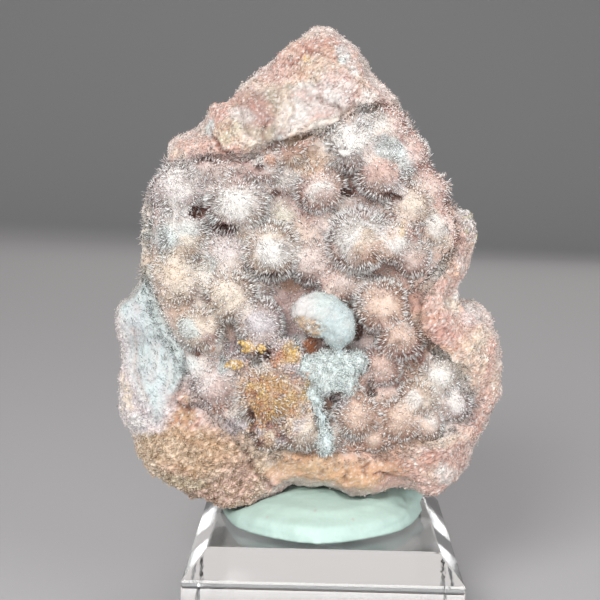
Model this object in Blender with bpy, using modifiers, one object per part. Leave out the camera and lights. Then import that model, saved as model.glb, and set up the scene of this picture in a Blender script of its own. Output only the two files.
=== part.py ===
"""Gypsum nest on a clear bevelled block.

A pointed slab of pink rock stands upright in a flat disc of putty on a square
block. The front of the rock has a shallow hollow lined with spiny gypsum balls.
Metres, +Z up, the front faces -Y, origin at the centre of the block's underside.
"""
import bisect
import math
import random

import bmesh
import bpy
from mathutils import Euler, Matrix, Vector, noise

MM = 0.001
MERGE = 0.01 * MM
GAP = 0.32 * MM
ROCK_CLEARANCE = 0.45 * MM

# Block: a 2 inch square with a bevelled top
BASE_WIDTH = 50.8 * MM
BASE_HEIGHT = 19.05 * MM
BASE_INSET = 4.35 * MM
BASE_DROP = 4.9 * MM
BASE_EDGE = 0.25 * MM

# Putty: a flat disc with a wavy edge and one folded lump at its right end
PUTTY_RADIUS = 19.6 * MM
PUTTY_HEIGHT = 6.7 * MM
PUTTY_CENTRE = Vector((-0.8 * MM, 0.2 * MM, BASE_HEIGHT + GAP))
PUTTY_SPOKES = 28
PUTTY_RINGS = 8
PUTTY_EDGE_POWER = 2.4
PUTTY_WAVES = [(3, 0.03, 0.6), (7, 0.015, 0.0)]
FOLD_PLACE = Vector((16.4 * MM, 3.4 * MM, 3.3 * MM))
FOLD_SIZE = Vector((4.0 * MM, 4.6 * MM, 2.7 * MM))

# Rock: its outline from the front, as (x, z) in mm with z from the block's top
ROCK_OUTLINE = [
    (-3.8, 94.4), (0.2, 94.2), (2.3, 92.4), (4.7, 90.2), (8.3, 85.3), (11.1, 83.3), (13.2, 81.0),
    (14.2, 78.4), (15.7, 75.2), (18.3, 68.7), (22.1, 64.3), (23.6, 61.8), (24.8, 62.3), (27.7, 59.9),
    (27.6, 55.4), (26.8, 54.2), (25.5, 47.4), (24.8, 45.7), (27.8, 43.0), (31.3, 40.6), (33.3, 36.7),
    (34.0, 32.3), (33.5, 28.3), (32.2, 24.5), (30.9, 19.7), (28.6, 15.6), (28.4, 12.1), (26.9, 9.1),
    (24.6, 6.2), (22.2, 5.7), (17.0, 7.5), (13.3, 7.6), (10.8, 5.8), (7.7, 6.7), (5.9, 5.7),
    (0.3, 6.5), (-6.6, 6.0), (-11.5, 3.9), (-16.5, 2.7), (-20.9, 3.4), (-22.4, 4.7), (-26.5, 4.4),
    (-32.1, 8.0), (-35.5, 11.0), (-37.3, 15.0), (-39.6, 19.8), (-40.0, 25.1), (-40.6, 27.1),
    (-40.2, 32.6), (-39.9, 40.5), (-39.4, 42.5), (-37.2, 44.3), (-37.9, 45.2), (-35.7, 47.2),
    (-35.1, 51.8), (-35.6, 57.1), (-34.5, 63.4), (-32.8, 66.1), (-30.9, 69.5), (-30.4, 73.7),
    (-28.4, 75.0), (-24.8, 75.5), (-23.3, 78.4), (-23.2, 79.9), (-18.6, 82.2), (-15.6, 84.4),
    (-11.8, 87.4), (-8.1, 91.8), (-6.0, 93.3),
]
ROCK_CENTRE = (-3.0, 44.5)
ROCK_MIDDLE_Y = -3.5
ROCK_FRONT = 11.5
ROCK_BACK = 17.0
ROCK_POWER = 3.0
ROCK_RIM = 0.999
ROCK_SPOKES = 240
ROCK_RINGS = 80
ROCK_GRAIN = [(12.0, 1.8), (5.0, 1.1), (2.4, 0.6)]
ROCK_VOXEL = 0.8 * MM
ROCK_KEEP = 0.038

# Lumps and dents of the rock's surface: (x, z, spread, height), mm, front face
FRONT_LUMPS = [
    (-3.0, 86.0, 6.0, 0.8), (4.5, 82.0, 5.5, 1.6), (-9.0, 80.0, 5.0, 1.0), (-2.0, 75.5, 5.0, -1.0),
    (-15.0, 76.0, 5.5, 1.4), (-24.0, 70.0, 5.0, 1.0), (20.0, 42.0, 6.0, 1.6), (27.0, 36.0, 6.0, 1.4),
    (29.0, 24.0, 5.0, -1.0), (18.0, 12.0, 8.0, 1.2), (2.0, 11.0, 7.0, 1.5), (-9.0, 10.0, 5.0, 1.2),
    (-25.0, 13.0, 9.0, 2.0), (-32.0, 34.0, 6.0, -1.8), (-35.0, 25.0, 5.0, 1.0), (27.0, 10.0, 4.0, 1.0),
]

# Hollow: its outline from the front and its depth below the rock's face
HOLLOW_OUTLINE = [
    (4.1, 78.4), (8.4, 80.8), (12.7, 79.2), (15.3, 74.1), (18.2, 68.4), (20.8, 62.8), (23.5, 57.1),
    (23.1, 52.4), (18.7, 49.0), (15.9, 44.8), (16.3, 39.6), (17.5, 36.4), (22.8, 33.1), (27.0, 29.8),
    (26.9, 24.6), (23.5, 20.4), (17.0, 18.0), (10.5, 15.6), (3.2, 14.8), (-4.1, 14.4), (-11.4, 16.2),
    (-17.8, 19.9), (-22.8, 24.0), (-26.0, 28.4), (-27.5, 33.6), (-30.7, 38.8), (-33.3, 42.9),
    (-33.7, 48.1), (-33.4, 54.6), (-33.0, 61.1), (-31.8, 66.3), (-27.2, 69.1), (-21.7, 70.2),
    (-17.1, 69.0), (-11.5, 70.9), (-6.0, 73.4), (0.6, 75.7),
]
HOLLOW_CENTRE = (-3.5, 48.0)
HOLLOW_DEPTH = 8.5
HOLLOW_EDGE_DEPTH = 0.9
HOLLOW_POWER = 2.6
HOLLOW_FRONT_Y = -34.0
HOLLOW_SPOKES = 48
HOLLOW_RINGS = 14
CARPET_DEPTH = 1.6
CARPET_EDGE = 0.9
CARPET_SPIKE = 0.9 * MM
CRUST_VOXEL = 0.25 * MM
CRUST_KEEP = 0.013

# Spiny balls: (x, z, y, radius to the needle tips) in mm, z from the block's top
BALLS = [
    (-17.1, 61.8, -10.0, 6.5), (-27.7, 64.0, -9.0, 5.6), (-27.2, 55.7, -9.5, 5.6), (-8.3, 59.8, -7.5, 3.8),
    (-8.4, 66.1, -8.0, 3.5), (-1.9, 65.0, -10.0, 5.5), (-10.5, 53.3, -10.5, 6.1), (-3.1, 51.5, -9.0, 5.2),
    (-19.3, 52.1, -9.0, 5.2), (5.2, 55.6, -12.0, 6.7), (3.7, 72.7, -11.5, 5.5), (9.7, 75.3, -10.5, 4.8),
    (9.1, 67.6, -11.0, 5.3), (14.6, 62.0, -10.0, 4.9), (12.3, 55.5, -12.0, 4.8), (20.0, 57.7, -9.0, 4.3),
    (15.3, 52.4, -11.5, 3.9), (2.1, 47.7, -9.5, 4.8), (7.3, 47.1, -10.0, 2.7), (9.7, 43.7, -12.0, 5.7),
    (13.4, 38.2, -12.0, 5.1), (6.6, 35.8, -7.5, 3.6), (10.1, 32.2, -10.5, 4.6), (17.1, 26.3, -11.5, 4.4),
    (21.1, 30.7, -10.5, 4.6), (5.8, 23.0, -12.0, 5.1), (13.8, 22.4, -12.0, 4.7), (11.1, 26.6, -9.0, 3.4),
    (-18.1, 45.0, -11.5, 5.7), (-23.6, 38.5, -11.5, 5.0), (-28.0, 47.7, -9.5, 5.9), (-22.9, 43.1, -11.0, 2.2),
    (-13.7, 45.9, -8.0, 4.0), (-12.5, 40.0, -11.5, 5.2), (-20.3, 67.4, -9.0, 4.2), (-14.3, 65.6, -8.5, 4.0),
    (-20.8, 27.9, -11.0, 5.2), (-11.4, 26.5, -12.0, 6.2), (-4.8, 20.5, -12.6, 4.9), (-7.8, 33.1, -12.0, 4.7),
    (2.8, 61.6, -8.2, 3.4), (-1.4, 58.4, -8.2, 3.8), (18.3, 64.8, -9.0, 3.5), (-5.7, 69.1, -9.0, 3.9),
    (23.8, 25.3, -10.5, 3.8), (25.0, 30.4, -10.0, 3.2), (14.5, 71.4, -9.5, 3.8), (-16.3, 31.5, -11.0, 3.2),
    (-23.6, 31.4, -11.0, 2.8), (-15.3, 23.6, -11.5, 3.6), (-10.7, 19.2, -12.3, 3.6), (0.4, 19.2, -12.4, 3.2),
    (-6.6, 27.3, -12.0, 4.0), (-20.8, 35.2, -10.5, 2.8), (-22.6, 48.0, -10.0, 3.2), (-15.2, 56.3, -8.6, 3.6),
    (-5.1, 55.4, -8.2, 3.6), (-11.4, 69.6, -10.4, 3.6), (-1.2, 71.0, -10.4, 3.4), (11.9, 70.0, -10.5, 3.4),
    (8.6, 60.4, -8.4, 3.4), (19.0, 21.5, -12.0, 3.3), (8.8, 18.6, -12.6, 2.8), (-27.0, 59.8, -8.5, 3.4),
]
BALL_CORE = 0.76
SMALL_BALL = 3.3
BALL_SEED = 11

# Smooth pale lumps on the crust: (x, z, y, half width, half height, half depth) in mm
PALE_LUMPS = [
    (-1.8, 42.1, -14.0, 5.6, 4.6, 3.0), (1.6, 38.9, -14.2, 3.2, 4.0, 2.6), (-0.3, 31.3, -13.4, 4.8, 3.4, 2.8),
    (4.0, 28.9, -12.6, 3.4, 3.2, 2.6), (-2.6, 25.0, -13.0, 2.0, 4.4, 2.0), (0.1, 18.4, -14.4, 1.1, 3.2, 1.1),
    (-14.1, 35.8, -14.6, 1.6, 1.2, 1.2), (-16.7, 32.2, -13.8, 2.0, 1.0, 1.2),
]
LUMP_ROUGHNESS = 0.16
LUMP_GRAIN = 1.7

# A face looks along an axis when its normal has at least this share of it
FACING = 0.5


def material(name, colour, roughness, transmission=0.0):
    """A Principled material of one colour."""
    made = bpy.data.materials.new(name)
    made.use_nodes = True
    shader = made.node_tree.nodes["Principled BSDF"]
    shader.inputs["Base Color"].default_value = (*colour, 1.0)
    shader.inputs["Roughness"].default_value = roughness
    shader.inputs["Transmission Weight"].default_value = transmission
    return made


def collection(name):
    """A new collection in the scene."""
    made = bpy.data.collections.new(name)
    bpy.context.scene.collection.children.link(made)
    return made


def add_object(name, shape, where, finish=None, smooth=False):
    """Turn a bmesh into an object of a collection."""
    bmesh.ops.recalc_face_normals(shape, faces=shape.faces)
    mesh = bpy.data.meshes.new(name)
    shape.to_mesh(mesh)
    shape.free()
    if smooth:
        mesh.shade_smooth()
    made = bpy.data.objects.new(name, mesh)
    where.objects.link(made)
    if finish:
        mesh.materials.append(finish)
    else:
        made.hide_render = True
        made.display_type = "WIRE"
    return made


def boolean(target, operation, cutter, solver="EXACT"):
    """Join to another object, or cut with it."""
    step = target.modifiers.new(operation.lower(), "BOOLEAN")
    step.operation = operation
    step.solver = solver
    step.object = cutter


def offset(target, distance):
    """Move a surface along its normals."""
    step = target.modifiers.new("offset", "DISPLACE")
    step.mid_level = 0.0
    step.strength = distance


def fuse(target, voxel, keep):
    """Fuse what overlaps into one closed skin, and keep a share of its faces."""
    skin = target.modifiers.new("skin", "REMESH")
    skin.mode = "VOXEL"
    skin.voxel_size = voxel
    fewer = target.modifiers.new("fewer", "DECIMATE")
    fewer.ratio = keep


def bodies(shape):
    """The separate bodies of a mesh, each as a set of points, the largest first."""
    found = []
    unseen = set(shape.verts)
    while unseen:
        body = set()
        edge = [next(iter(unseen))]
        while edge:
            point = edge.pop()
            if point in body:
                continue
            body.add(point)
            edge.extend(link.other_vert(point) for link in point.link_edges)
        unseen -= body
        found.append(body)
    return sorted(found, key=len, reverse=True)


def keep_largest(target):
    """Apply the modifiers and drop the crumbs that a cut left beside the main body."""
    bpy.context.view_layer.update()
    seen = target.evaluated_get(bpy.context.evaluated_depsgraph_get())
    mesh = bpy.data.meshes.new_from_object(seen)
    target.modifiers.clear()
    target.data = mesh
    shape = bmesh.new()
    shape.from_mesh(mesh)
    crumbs = [point for body in bodies(shape)[1:] for point in body]
    bmesh.ops.delete(shape, geom=crumbs, context="VERTS")
    shape.to_mesh(mesh)
    shape.free()


def polar_outline(points, centre):
    """Turn outline points into a function from angle to distance, in mm."""
    offsets = [(x - centre[0], z - centre[1]) for x, z in points]
    polar = sorted((math.atan2(dz, dx), math.hypot(dx, dz)) for dx, dz in offsets)
    first, last = polar[0], polar[-1]
    polar = [(last[0] - math.tau, last[1])] + polar + [(first[0] + math.tau, first[1])]
    angles = [angle for angle, _ in polar]

    def reach(angle):
        after = bisect.bisect_right(angles, angle)
        (a, near), (b, far) = polar[after - 1], polar[after]
        return near + (far - near) * (angle - a) / (b - a)

    return reach


rock_reach = polar_outline(ROCK_OUTLINE, ROCK_CENTRE)
hollow_reach = polar_outline(HOLLOW_OUTLINE, HOLLOW_CENTRE)


def place(x, y, z):
    """A point given in mm, with z from the block's top."""
    return Vector((x * MM, y * MM, BASE_HEIGHT + z * MM))


def rock_bulge(share):
    """How far the rock bulges at a share of the way to its outline, from 1 to nearly 0."""
    return (1.0 - min(share, ROCK_RIM) ** ROCK_POWER) ** (1.0 / ROCK_POWER)


def rock_face(x, z):
    """Where the rock's smooth front face lies, y in mm."""
    dx, dz = x - ROCK_CENTRE[0], z - ROCK_CENTRE[1]
    bulge = rock_bulge(math.hypot(dx, dz) / rock_reach(math.atan2(dz, dx)))
    lumps = sum(h * math.exp(-((x - lx) ** 2 + (z - lz) ** 2) / s ** 2) for lx, lz, s, h in FRONT_LUMPS)
    return ROCK_MIDDLE_Y - ROCK_FRONT * bulge - lumps * bulge


def round_body(spokes, rings, centre, reach, depth):
    """A sphere with poles at the front and back, pulled out to an outline.

    depth gives y in mm from x, z, the share of the way to the outline and the side
    (+1 at the front pole, -1 at the back pole).
    """
    shape = bmesh.new()
    bmesh.ops.create_uvsphere(shape, u_segments=spokes, v_segments=rings, radius=1.0)
    for point in shape.verts:
        side = point.co.z
        angle = math.atan2(point.co.y, point.co.x)
        share = min(math.hypot(point.co.x, point.co.y), 1.0) ** (2.0 / ROCK_POWER)
        x = centre[0] + share * reach(angle) * math.cos(angle)
        z = centre[1] + share * reach(angle) * math.sin(angle)
        point.co = place(x, depth(x, z, share, side), z)
    return shape


def roughen(shape, layers):
    """Push each point along its normal by layers of smooth noise: (size, height) in mm."""
    bmesh.ops.recalc_face_normals(shape, faces=shape.faces)
    shape.normal_update()
    moves = []
    for point in shape.verts:
        height = sum(h * noise.noise(point.co / (size * MM)) for size, h in layers)
        moves.append(point.normal * height * MM)
    for point, move in zip(shape.verts, moves):
        point.co += move


def rock_shape():
    """The whole rock, before the hollow is cut."""
    def depth(x, z, share, side):
        if side >= 0:
            return rock_face(x, z)
        return ROCK_MIDDLE_Y + ROCK_BACK * rock_bulge(share)

    shape = round_body(ROCK_SPOKES, ROCK_RINGS, ROCK_CENTRE, rock_reach, depth)
    roughen(shape, ROCK_GRAIN)
    return shape


def hollow_floor(x, z, share):
    """The floor of the hollow, y in mm."""
    return rock_face(x, z) + HOLLOW_EDGE_DEPTH + HOLLOW_DEPTH * (1.0 - share ** HOLLOW_POWER)


def hollow_shape():
    """The cutter that takes the hollow out of the rock."""
    def depth(x, z, share, side):
        return HOLLOW_FRONT_Y if side > 0 else hollow_floor(x, z, share)

    return round_body(HOLLOW_SPOKES, HOLLOW_RINGS, HOLLOW_CENTRE, hollow_reach, depth)


def carpet_shape():
    """The layer of short crystals that covers the hollow's floor, with a spike on each face."""
    def depth(x, z, share, side):
        floor = hollow_floor(x, z, share)
        if side > 0:
            return floor - CARPET_EDGE - CARPET_DEPTH * (1.0 - share ** 2)
        return floor + CARPET_EDGE

    shape = round_body(HOLLOW_SPOKES // 2, HOLLOW_RINGS, HOLLOW_CENTRE, hollow_reach, depth)
    bmesh.ops.recalc_face_normals(shape, faces=shape.faces)
    front = [face for face in shape.faces if face.normal.y < -FACING]
    bmesh.ops.poke(shape, faces=front, offset=CARPET_SPIKE)
    return shape


def ball_shape(centre, radius, turn):
    """A spiny ball: one spike on each face of a round core."""
    shape = bmesh.new()
    detail = 2 if radius > SMALL_BALL * MM else 1
    bmesh.ops.create_icosphere(shape, subdivisions=detail, radius=radius * BALL_CORE)
    bmesh.ops.poke(shape, faces=shape.faces, offset=radius * (1.0 - BALL_CORE))
    bmesh.ops.transform(shape, matrix=Matrix.Translation(centre) @ turn, verts=shape.verts)
    return shape


def lump_shape(centre, size):
    """A smooth lump with a slightly uneven surface."""
    shape = bmesh.new()
    bmesh.ops.create_icosphere(shape, subdivisions=2, radius=1.0)
    for point in shape.verts:
        swell = 1.0 + LUMP_ROUGHNESS * noise.noise(point.co * LUMP_GRAIN + centre / MM)
        point.co = centre + Vector([p * s * swell for p, s in zip(point.co, size)])
    return shape


def add_to(whole, piece):
    """Put a piece's faces into the whole."""
    mesh = bpy.data.meshes.new("piece")
    piece.to_mesh(mesh)
    piece.free()
    whole.from_mesh(mesh)
    bpy.data.meshes.remove(mesh)


def crystals_shape():
    """The carpet with every ball and lump, still as overlapping bodies."""
    whole = carpet_shape()
    rng = random.Random(BALL_SEED)
    for x, z, y, radius in BALLS:
        turn = Euler([rng.uniform(0, math.tau) for _ in range(3)]).to_matrix().to_4x4()
        add_to(whole, ball_shape(place(x, y, z), radius * MM, turn))
    for x, z, y, wide, high, deep in PALE_LUMPS:
        add_to(whole, lump_shape(place(x, y, z), (wide * MM, deep * MM, high * MM)))
    return whole


def make_rock(parts, cutters):
    """The rock with its hollow, and the mould that keeps its neighbours clear of it."""
    finish = material("salmon_rock", (0.62, 0.40, 0.33), 0.85)
    matrix = add_object("matrix", rock_shape(), parts, finish, smooth=True)
    fuse(matrix, ROCK_VOXEL, ROCK_KEEP)
    hollow = add_object("hollow", hollow_shape(), cutters)
    boolean(matrix, "DIFFERENCE", hollow)

    rock_clear = add_object("rock_clear", rock_shape(), cutters)
    fuse(rock_clear, ROCK_VOXEL, ROCK_KEEP)
    offset(rock_clear, ROCK_CLEARANCE)
    hollow_clear = add_object("hollow_clear", hollow_shape(), cutters)
    offset(hollow_clear, -GAP)
    mould = add_object("mould", rock_shape(), cutters)
    fuse(mould, ROCK_VOXEL, ROCK_KEEP)
    offset(mould, ROCK_CLEARANCE)
    boolean(mould, "DIFFERENCE", hollow_clear)
    return rock_clear, mould


def make_crust(parts, mould):
    """The hollow's crystals as one crust."""
    finish = material("gypsum_needles", (0.78, 0.68, 0.66), 0.6)
    crust = add_object("crystal_nest", crystals_shape(), parts, finish)
    fuse(crust, CRUST_VOXEL, CRUST_KEEP)
    boolean(crust, "DIFFERENCE", mould, solver="MANIFOLD")
    keep_largest(crust)


def putty_shape():
    """A flat disc with a rounded edge and a level underside."""
    shape = bmesh.new()
    bmesh.ops.create_uvsphere(shape, u_segments=PUTTY_SPOKES, v_segments=PUTTY_RINGS, radius=1.0)
    for point in shape.verts:
        around = math.hypot(point.co.x, point.co.y)
        wide = around ** (2.0 / PUTTY_EDGE_POWER)
        high = max(point.co.z, 0.0) ** (2.0 / PUTTY_EDGE_POWER)
        angle = math.atan2(point.co.y, point.co.x)
        swell = 1.0 + sum(height * math.sin(waves * angle + shift) for waves, height, shift in PUTTY_WAVES)
        reach = PUTTY_RADIUS * wide * swell
        flat = Vector((reach * math.cos(angle), reach * math.sin(angle), PUTTY_HEIGHT * high))
        point.co = PUTTY_CENTRE + flat
    bmesh.ops.remove_doubles(shape, verts=shape.verts, dist=MERGE)
    return shape


def make_putty(parts, cutters, rock_clear):
    """The putty disc with its folded lump, pressed down by the rock."""
    finish = material("pale_putty", (0.72, 0.84, 0.78), 0.75)
    putty = add_object("putty", putty_shape(), parts, finish, smooth=True)
    fold = add_object("fold", lump_shape(PUTTY_CENTRE + FOLD_PLACE, FOLD_SIZE), cutters)
    boolean(putty, "UNION", fold)
    boolean(putty, "DIFFERENCE", rock_clear)


def make_base(parts):
    """The clear block: a box whose top face is drawn in to a wide bevel."""
    finish = material("clear_block", (0.95, 0.97, 0.97), 0.03, transmission=1.0)
    shape = bmesh.new()
    bmesh.ops.create_cube(shape, size=1.0)
    side = BASE_HEIGHT - BASE_DROP
    bmesh.ops.scale(shape, vec=(BASE_WIDTH, BASE_WIDTH, side), verts=shape.verts)
    bmesh.ops.translate(shape, vec=(0, 0, side / 2), verts=shape.verts)
    top = [face for face in shape.faces if face.normal.z > FACING]
    raised = bmesh.ops.extrude_face_region(shape, geom=top)["geom"]
    corners = [item for item in raised if isinstance(item, bmesh.types.BMVert)]
    bmesh.ops.delete(shape, geom=top, context="FACES_ONLY")
    bmesh.ops.translate(shape, vec=(0, 0, BASE_DROP), verts=corners)
    draw_in = 1.0 - 2.0 * BASE_INSET / BASE_WIDTH
    bmesh.ops.scale(shape, vec=(draw_in, draw_in, 1.0), verts=corners)
    base = add_object("base", shape, parts, finish)
    edge = base.modifiers.new("edge", "BEVEL")
    edge.width = BASE_EDGE
    edge.segments = 1


def main():
    for item in list(bpy.data.objects):
        bpy.data.objects.remove(item, do_unlink=True)
    parts = collection("gypsum_nest")
    cutters = collection("cutters")
    rock_clear, mould = make_rock(parts, cutters)
    make_crust(parts, mould)
    make_putty(parts, cutters, rock_clear)
    make_base(parts)


main()
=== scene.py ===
"""Looks of the gypsum nest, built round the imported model.

Fine meshes stand for the rock, the crystal crust and the putty. The clear block is
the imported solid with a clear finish. Places are in mm as (x, z) or (x, z, y), with z
from the block's top; points inside the functions are rows of x, y, z in the same mm.
"""
import itertools
import math

import bmesh
import bpy
import numpy as np
from mathutils import Matrix, Vector
from mathutils.bvhtree import BVHTree


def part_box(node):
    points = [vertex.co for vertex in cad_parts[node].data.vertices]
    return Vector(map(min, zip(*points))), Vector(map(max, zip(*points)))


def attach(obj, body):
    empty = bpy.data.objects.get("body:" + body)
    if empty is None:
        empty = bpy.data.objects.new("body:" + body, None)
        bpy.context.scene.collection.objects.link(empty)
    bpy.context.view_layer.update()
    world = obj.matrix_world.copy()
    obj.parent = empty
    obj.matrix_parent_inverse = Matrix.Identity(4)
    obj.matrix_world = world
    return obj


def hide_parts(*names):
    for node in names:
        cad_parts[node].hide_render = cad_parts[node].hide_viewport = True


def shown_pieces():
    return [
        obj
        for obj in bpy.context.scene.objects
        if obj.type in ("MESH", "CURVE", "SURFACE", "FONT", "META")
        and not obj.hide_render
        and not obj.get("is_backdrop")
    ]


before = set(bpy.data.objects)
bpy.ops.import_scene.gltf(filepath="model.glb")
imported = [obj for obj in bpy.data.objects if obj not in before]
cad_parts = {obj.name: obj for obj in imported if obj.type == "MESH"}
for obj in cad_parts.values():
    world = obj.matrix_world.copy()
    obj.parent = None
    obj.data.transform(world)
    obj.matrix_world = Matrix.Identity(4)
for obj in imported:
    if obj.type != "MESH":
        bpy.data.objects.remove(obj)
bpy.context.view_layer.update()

MM = 0.001
BLOCK_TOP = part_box("base")[1].z / MM
SHIFT = np.array([0.0, 0.0, BLOCK_TOP])
rng = np.random.default_rng(7)

# Camera, found from the corners of the block in the photograph; mm and degrees
CAMERA_PLACE = (-1.48, -226.13, 93.42)
CAMERA_YAW = 0.99
CAMERA_DOWN = 7.98
CAMERA_ROLL = 0.99
FOCAL_PIXELS = 1177.0
PICTURE_PIXELS = 600
SENSOR = 36.0

# Soft lights: (name, place in mm, size in m, power, colour)
LIGHTS = [
    ("key", (-170, -420, 340), 0.2, 2.2, (1.0, 0.985, 0.97)),
    ("front", (40, -520, 150), 0.25, 1.15, (1, 1, 1)),
    ("fill", (380, -300, 200), 0.4, 1.1, (1, 1, 1)),
    ("back", (60, 420, 420), 0.9, 1.4, (1.0, 0.94, 0.91)),
]
AIM_HEIGHT = 60.0

# Even skins: (size of a voxel in mm, rounds of smoothing)
ROCK_SKIN = (0.7, 10)
FILLED_SKIN = (0.5, 40)
CORE_SKIN = (0.5, 2)
LUMP_SKIN = (0.32, 7)
PUTTY_SKIN = (0.45, 10)

# How many small bodies each mesh has, and how thick they lie in a cluster of crumbs
LOBE_GRAINS = 5500
SUGAR_CRYSTALS = 13000
EDGE_NEEDLES = 13000
FACE_NEEDLES = 1200
CARPET_NEEDLES = 14000
CARPET_TUFTS = 150
LUMP_NEEDLES = 5000
CRUST_GRAINS = 9000
EDGE_GRAINS = 90
CRUMBS_PER_AREA = 130

# Colours in the range 0 to 255. The gap and dark colours are painted shade, laid at needle roots and in the
# gaps and holes between the balls
PALETTE = {
    "white": (238, 235, 231), "lilac": (226, 213, 212), "cream": (230, 214, 194), "peach": (226, 190, 166),
    "pink": (222, 192, 181), "mauve": (202, 164, 154), "grey": (212, 204, 200), "aqua": (222, 233, 231),
    "ochre": (204, 162, 106), "orange": (196, 130, 88), "tan": (208, 172, 134), "salmon": (212, 168, 152),
    "rose": (196, 142, 129), "rust": (134, 74, 54), "brown": (108, 76, 64), "gap": (144, 92, 80),
    "gold": (222, 188, 120), "blue": (212, 227, 228), "green": (212, 206, 178), "dark": (58, 38, 32),
    "violet": (208, 201, 207), "olive": (150, 120, 84), "amber": (208, 136, 84), "clay": (168, 118, 106),
}


def linear(name):
    """A palette colour as linear values from 0 to 1."""
    value = np.array(PALETTE[name]) / 255.0
    return np.where(value <= 0.04045, value / 12.92, ((value + 0.055) / 1.055) ** 2.4)


COLOUR = {name: linear(name) for name in PALETTE}

# Spiny balls: (x, z, y, radius to the tips, colour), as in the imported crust
BALLS = [
    (-17.1, 61.8, -10, 6.5, "white"), (-27.7, 64, -9, 5.6, "lilac"), (-27.2, 55.7, -9.5, 5.6, "aqua"),
    (-8.3, 59.8, -7.5, 3.8, "grey"), (-8.4, 66.1, -8, 3.5, "grey"), (-1.9, 65, -10, 5.5, "pink"),
    (-10.5, 53.3, -10.5, 6.1, "cream"), (-3.1, 51.5, -9, 5.2, "lilac"), (-19.3, 52.1, -9, 5.2, "lilac"),
    (5.2, 55.6, -12, 6.7, "white"), (3.7, 72.7, -11.5, 5.5, "white"), (9.7, 75.3, -10.5, 4.8, "white"),
    (9.1, 67.6, -11, 5.3, "pink"), (14.6, 62, -10, 4.9, "cream"), (12.3, 55.5, -12, 4.8, "white"),
    (20, 57.7, -9, 4.3, "cream"), (15.3, 52.4, -11.5, 3.9, "white"), (2.1, 47.7, -9.5, 4.8, "pink"),
    (7.3, 47.1, -10, 2.7, "white"), (9.7, 43.7, -12, 5.7, "peach"), (13.4, 38.2, -12, 5.1, "peach"),
    (6.6, 35.8, -7.5, 3.6, "grey"), (10.1, 32.2, -10.5, 4.6, "pink"), (17.1, 26.3, -11.5, 4.4, "cream"),
    (21.1, 30.7, -10.5, 4.6, "cream"), (5.8, 23, -12, 5.1, "peach"), (13.8, 22.4, -12, 4.7, "peach"),
    (11.1, 26.6, -9, 3.4, "mauve"), (-18.1, 45, -11.5, 5.7, "cream"), (-23.6, 38.5, -11.5, 5, "cream"),
    (-28, 47.7, -9.5, 5.9, "cream"), (-22.9, 43.1, -11, 2.2, "white"), (-13.7, 45.9, -8, 4, "lilac"),
    (-12.5, 40, -11.5, 5.2, "lilac"), (-20.3, 67.4, -9, 4.2, "mauve"), (-14.3, 65.6, -8.5, 4, "mauve"),
    (-20.8, 27.9, -11, 5.2, "lilac"), (-11.4, 26.5, -12, 6.2, "ochre"), (-4.8, 20.5, -12.6, 4.9, "cream"),
    (-7.8, 33.1, -12, 4.7, "lilac"), (2.8, 61.6, -8.2, 3.4, "grey"), (-1.4, 58.4, -8.2, 3.8, "mauve"),
    (18.3, 64.8, -9, 3.5, "pink"), (-5.7, 69.1, -9, 3.9, "tan"), (23.8, 25.3, -10.5, 3.8, "lilac"),
    (25, 30.4, -10, 3.2, "lilac"), (14.5, 71.4, -9.5, 3.8, "white"), (-16.3, 31.5, -11, 3.2, "lilac"),
    (-23.6, 31.4, -11, 2.8, "grey"), (-15.3, 23.6, -11.5, 3.6, "white"), (-10.7, 19.2, -12.3, 3.6, "cream"),
    (0.4, 19.2, -12.4, 3.2, "aqua"), (-6.6, 27.3, -12, 4, "cream"), (-20.8, 35.2, -10.5, 2.8, "grey"),
    (-22.6, 48, -10, 3.2, "white"), (-15.2, 56.3, -8.6, 3.6, "lilac"), (-5.1, 55.4, -8.2, 3.6, "tan"),
    (-11.4, 69.6, -10.4, 3.6, "grey"), (-1.2, 71, -10.4, 3.4, "tan"), (11.9, 70, -10.5, 3.4, "white"),
    (8.6, 60.4, -8.4, 3.4, "mauve"), (19, 21.5, -12, 3.3, "white"), (8.8, 18.6, -12.6, 2.8, "peach"),
    (-27, 59.8, -8.5, 3.4, "mauve"),
]
CENTRES = np.array([(x, y, z) for x, z, y, _, _ in BALLS])
RADII = np.array([ball[3] for ball in BALLS])
CORE_SHARE = 0.76

# Every colour is dimmed by this under stronger light, so that white needle tips stand out
DIM = 0.8
TIP_WHITE = np.array([1.2, 1.24, 1.24])
FLUSH = np.array([1.05, 0.95, 0.93])
# Painted highlight: the milky tone laid on the fronts of the balls and on needles painted as lit
PAINTED_LIGHT_TONE = np.array([0.86, 0.84, 0.81])
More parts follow.
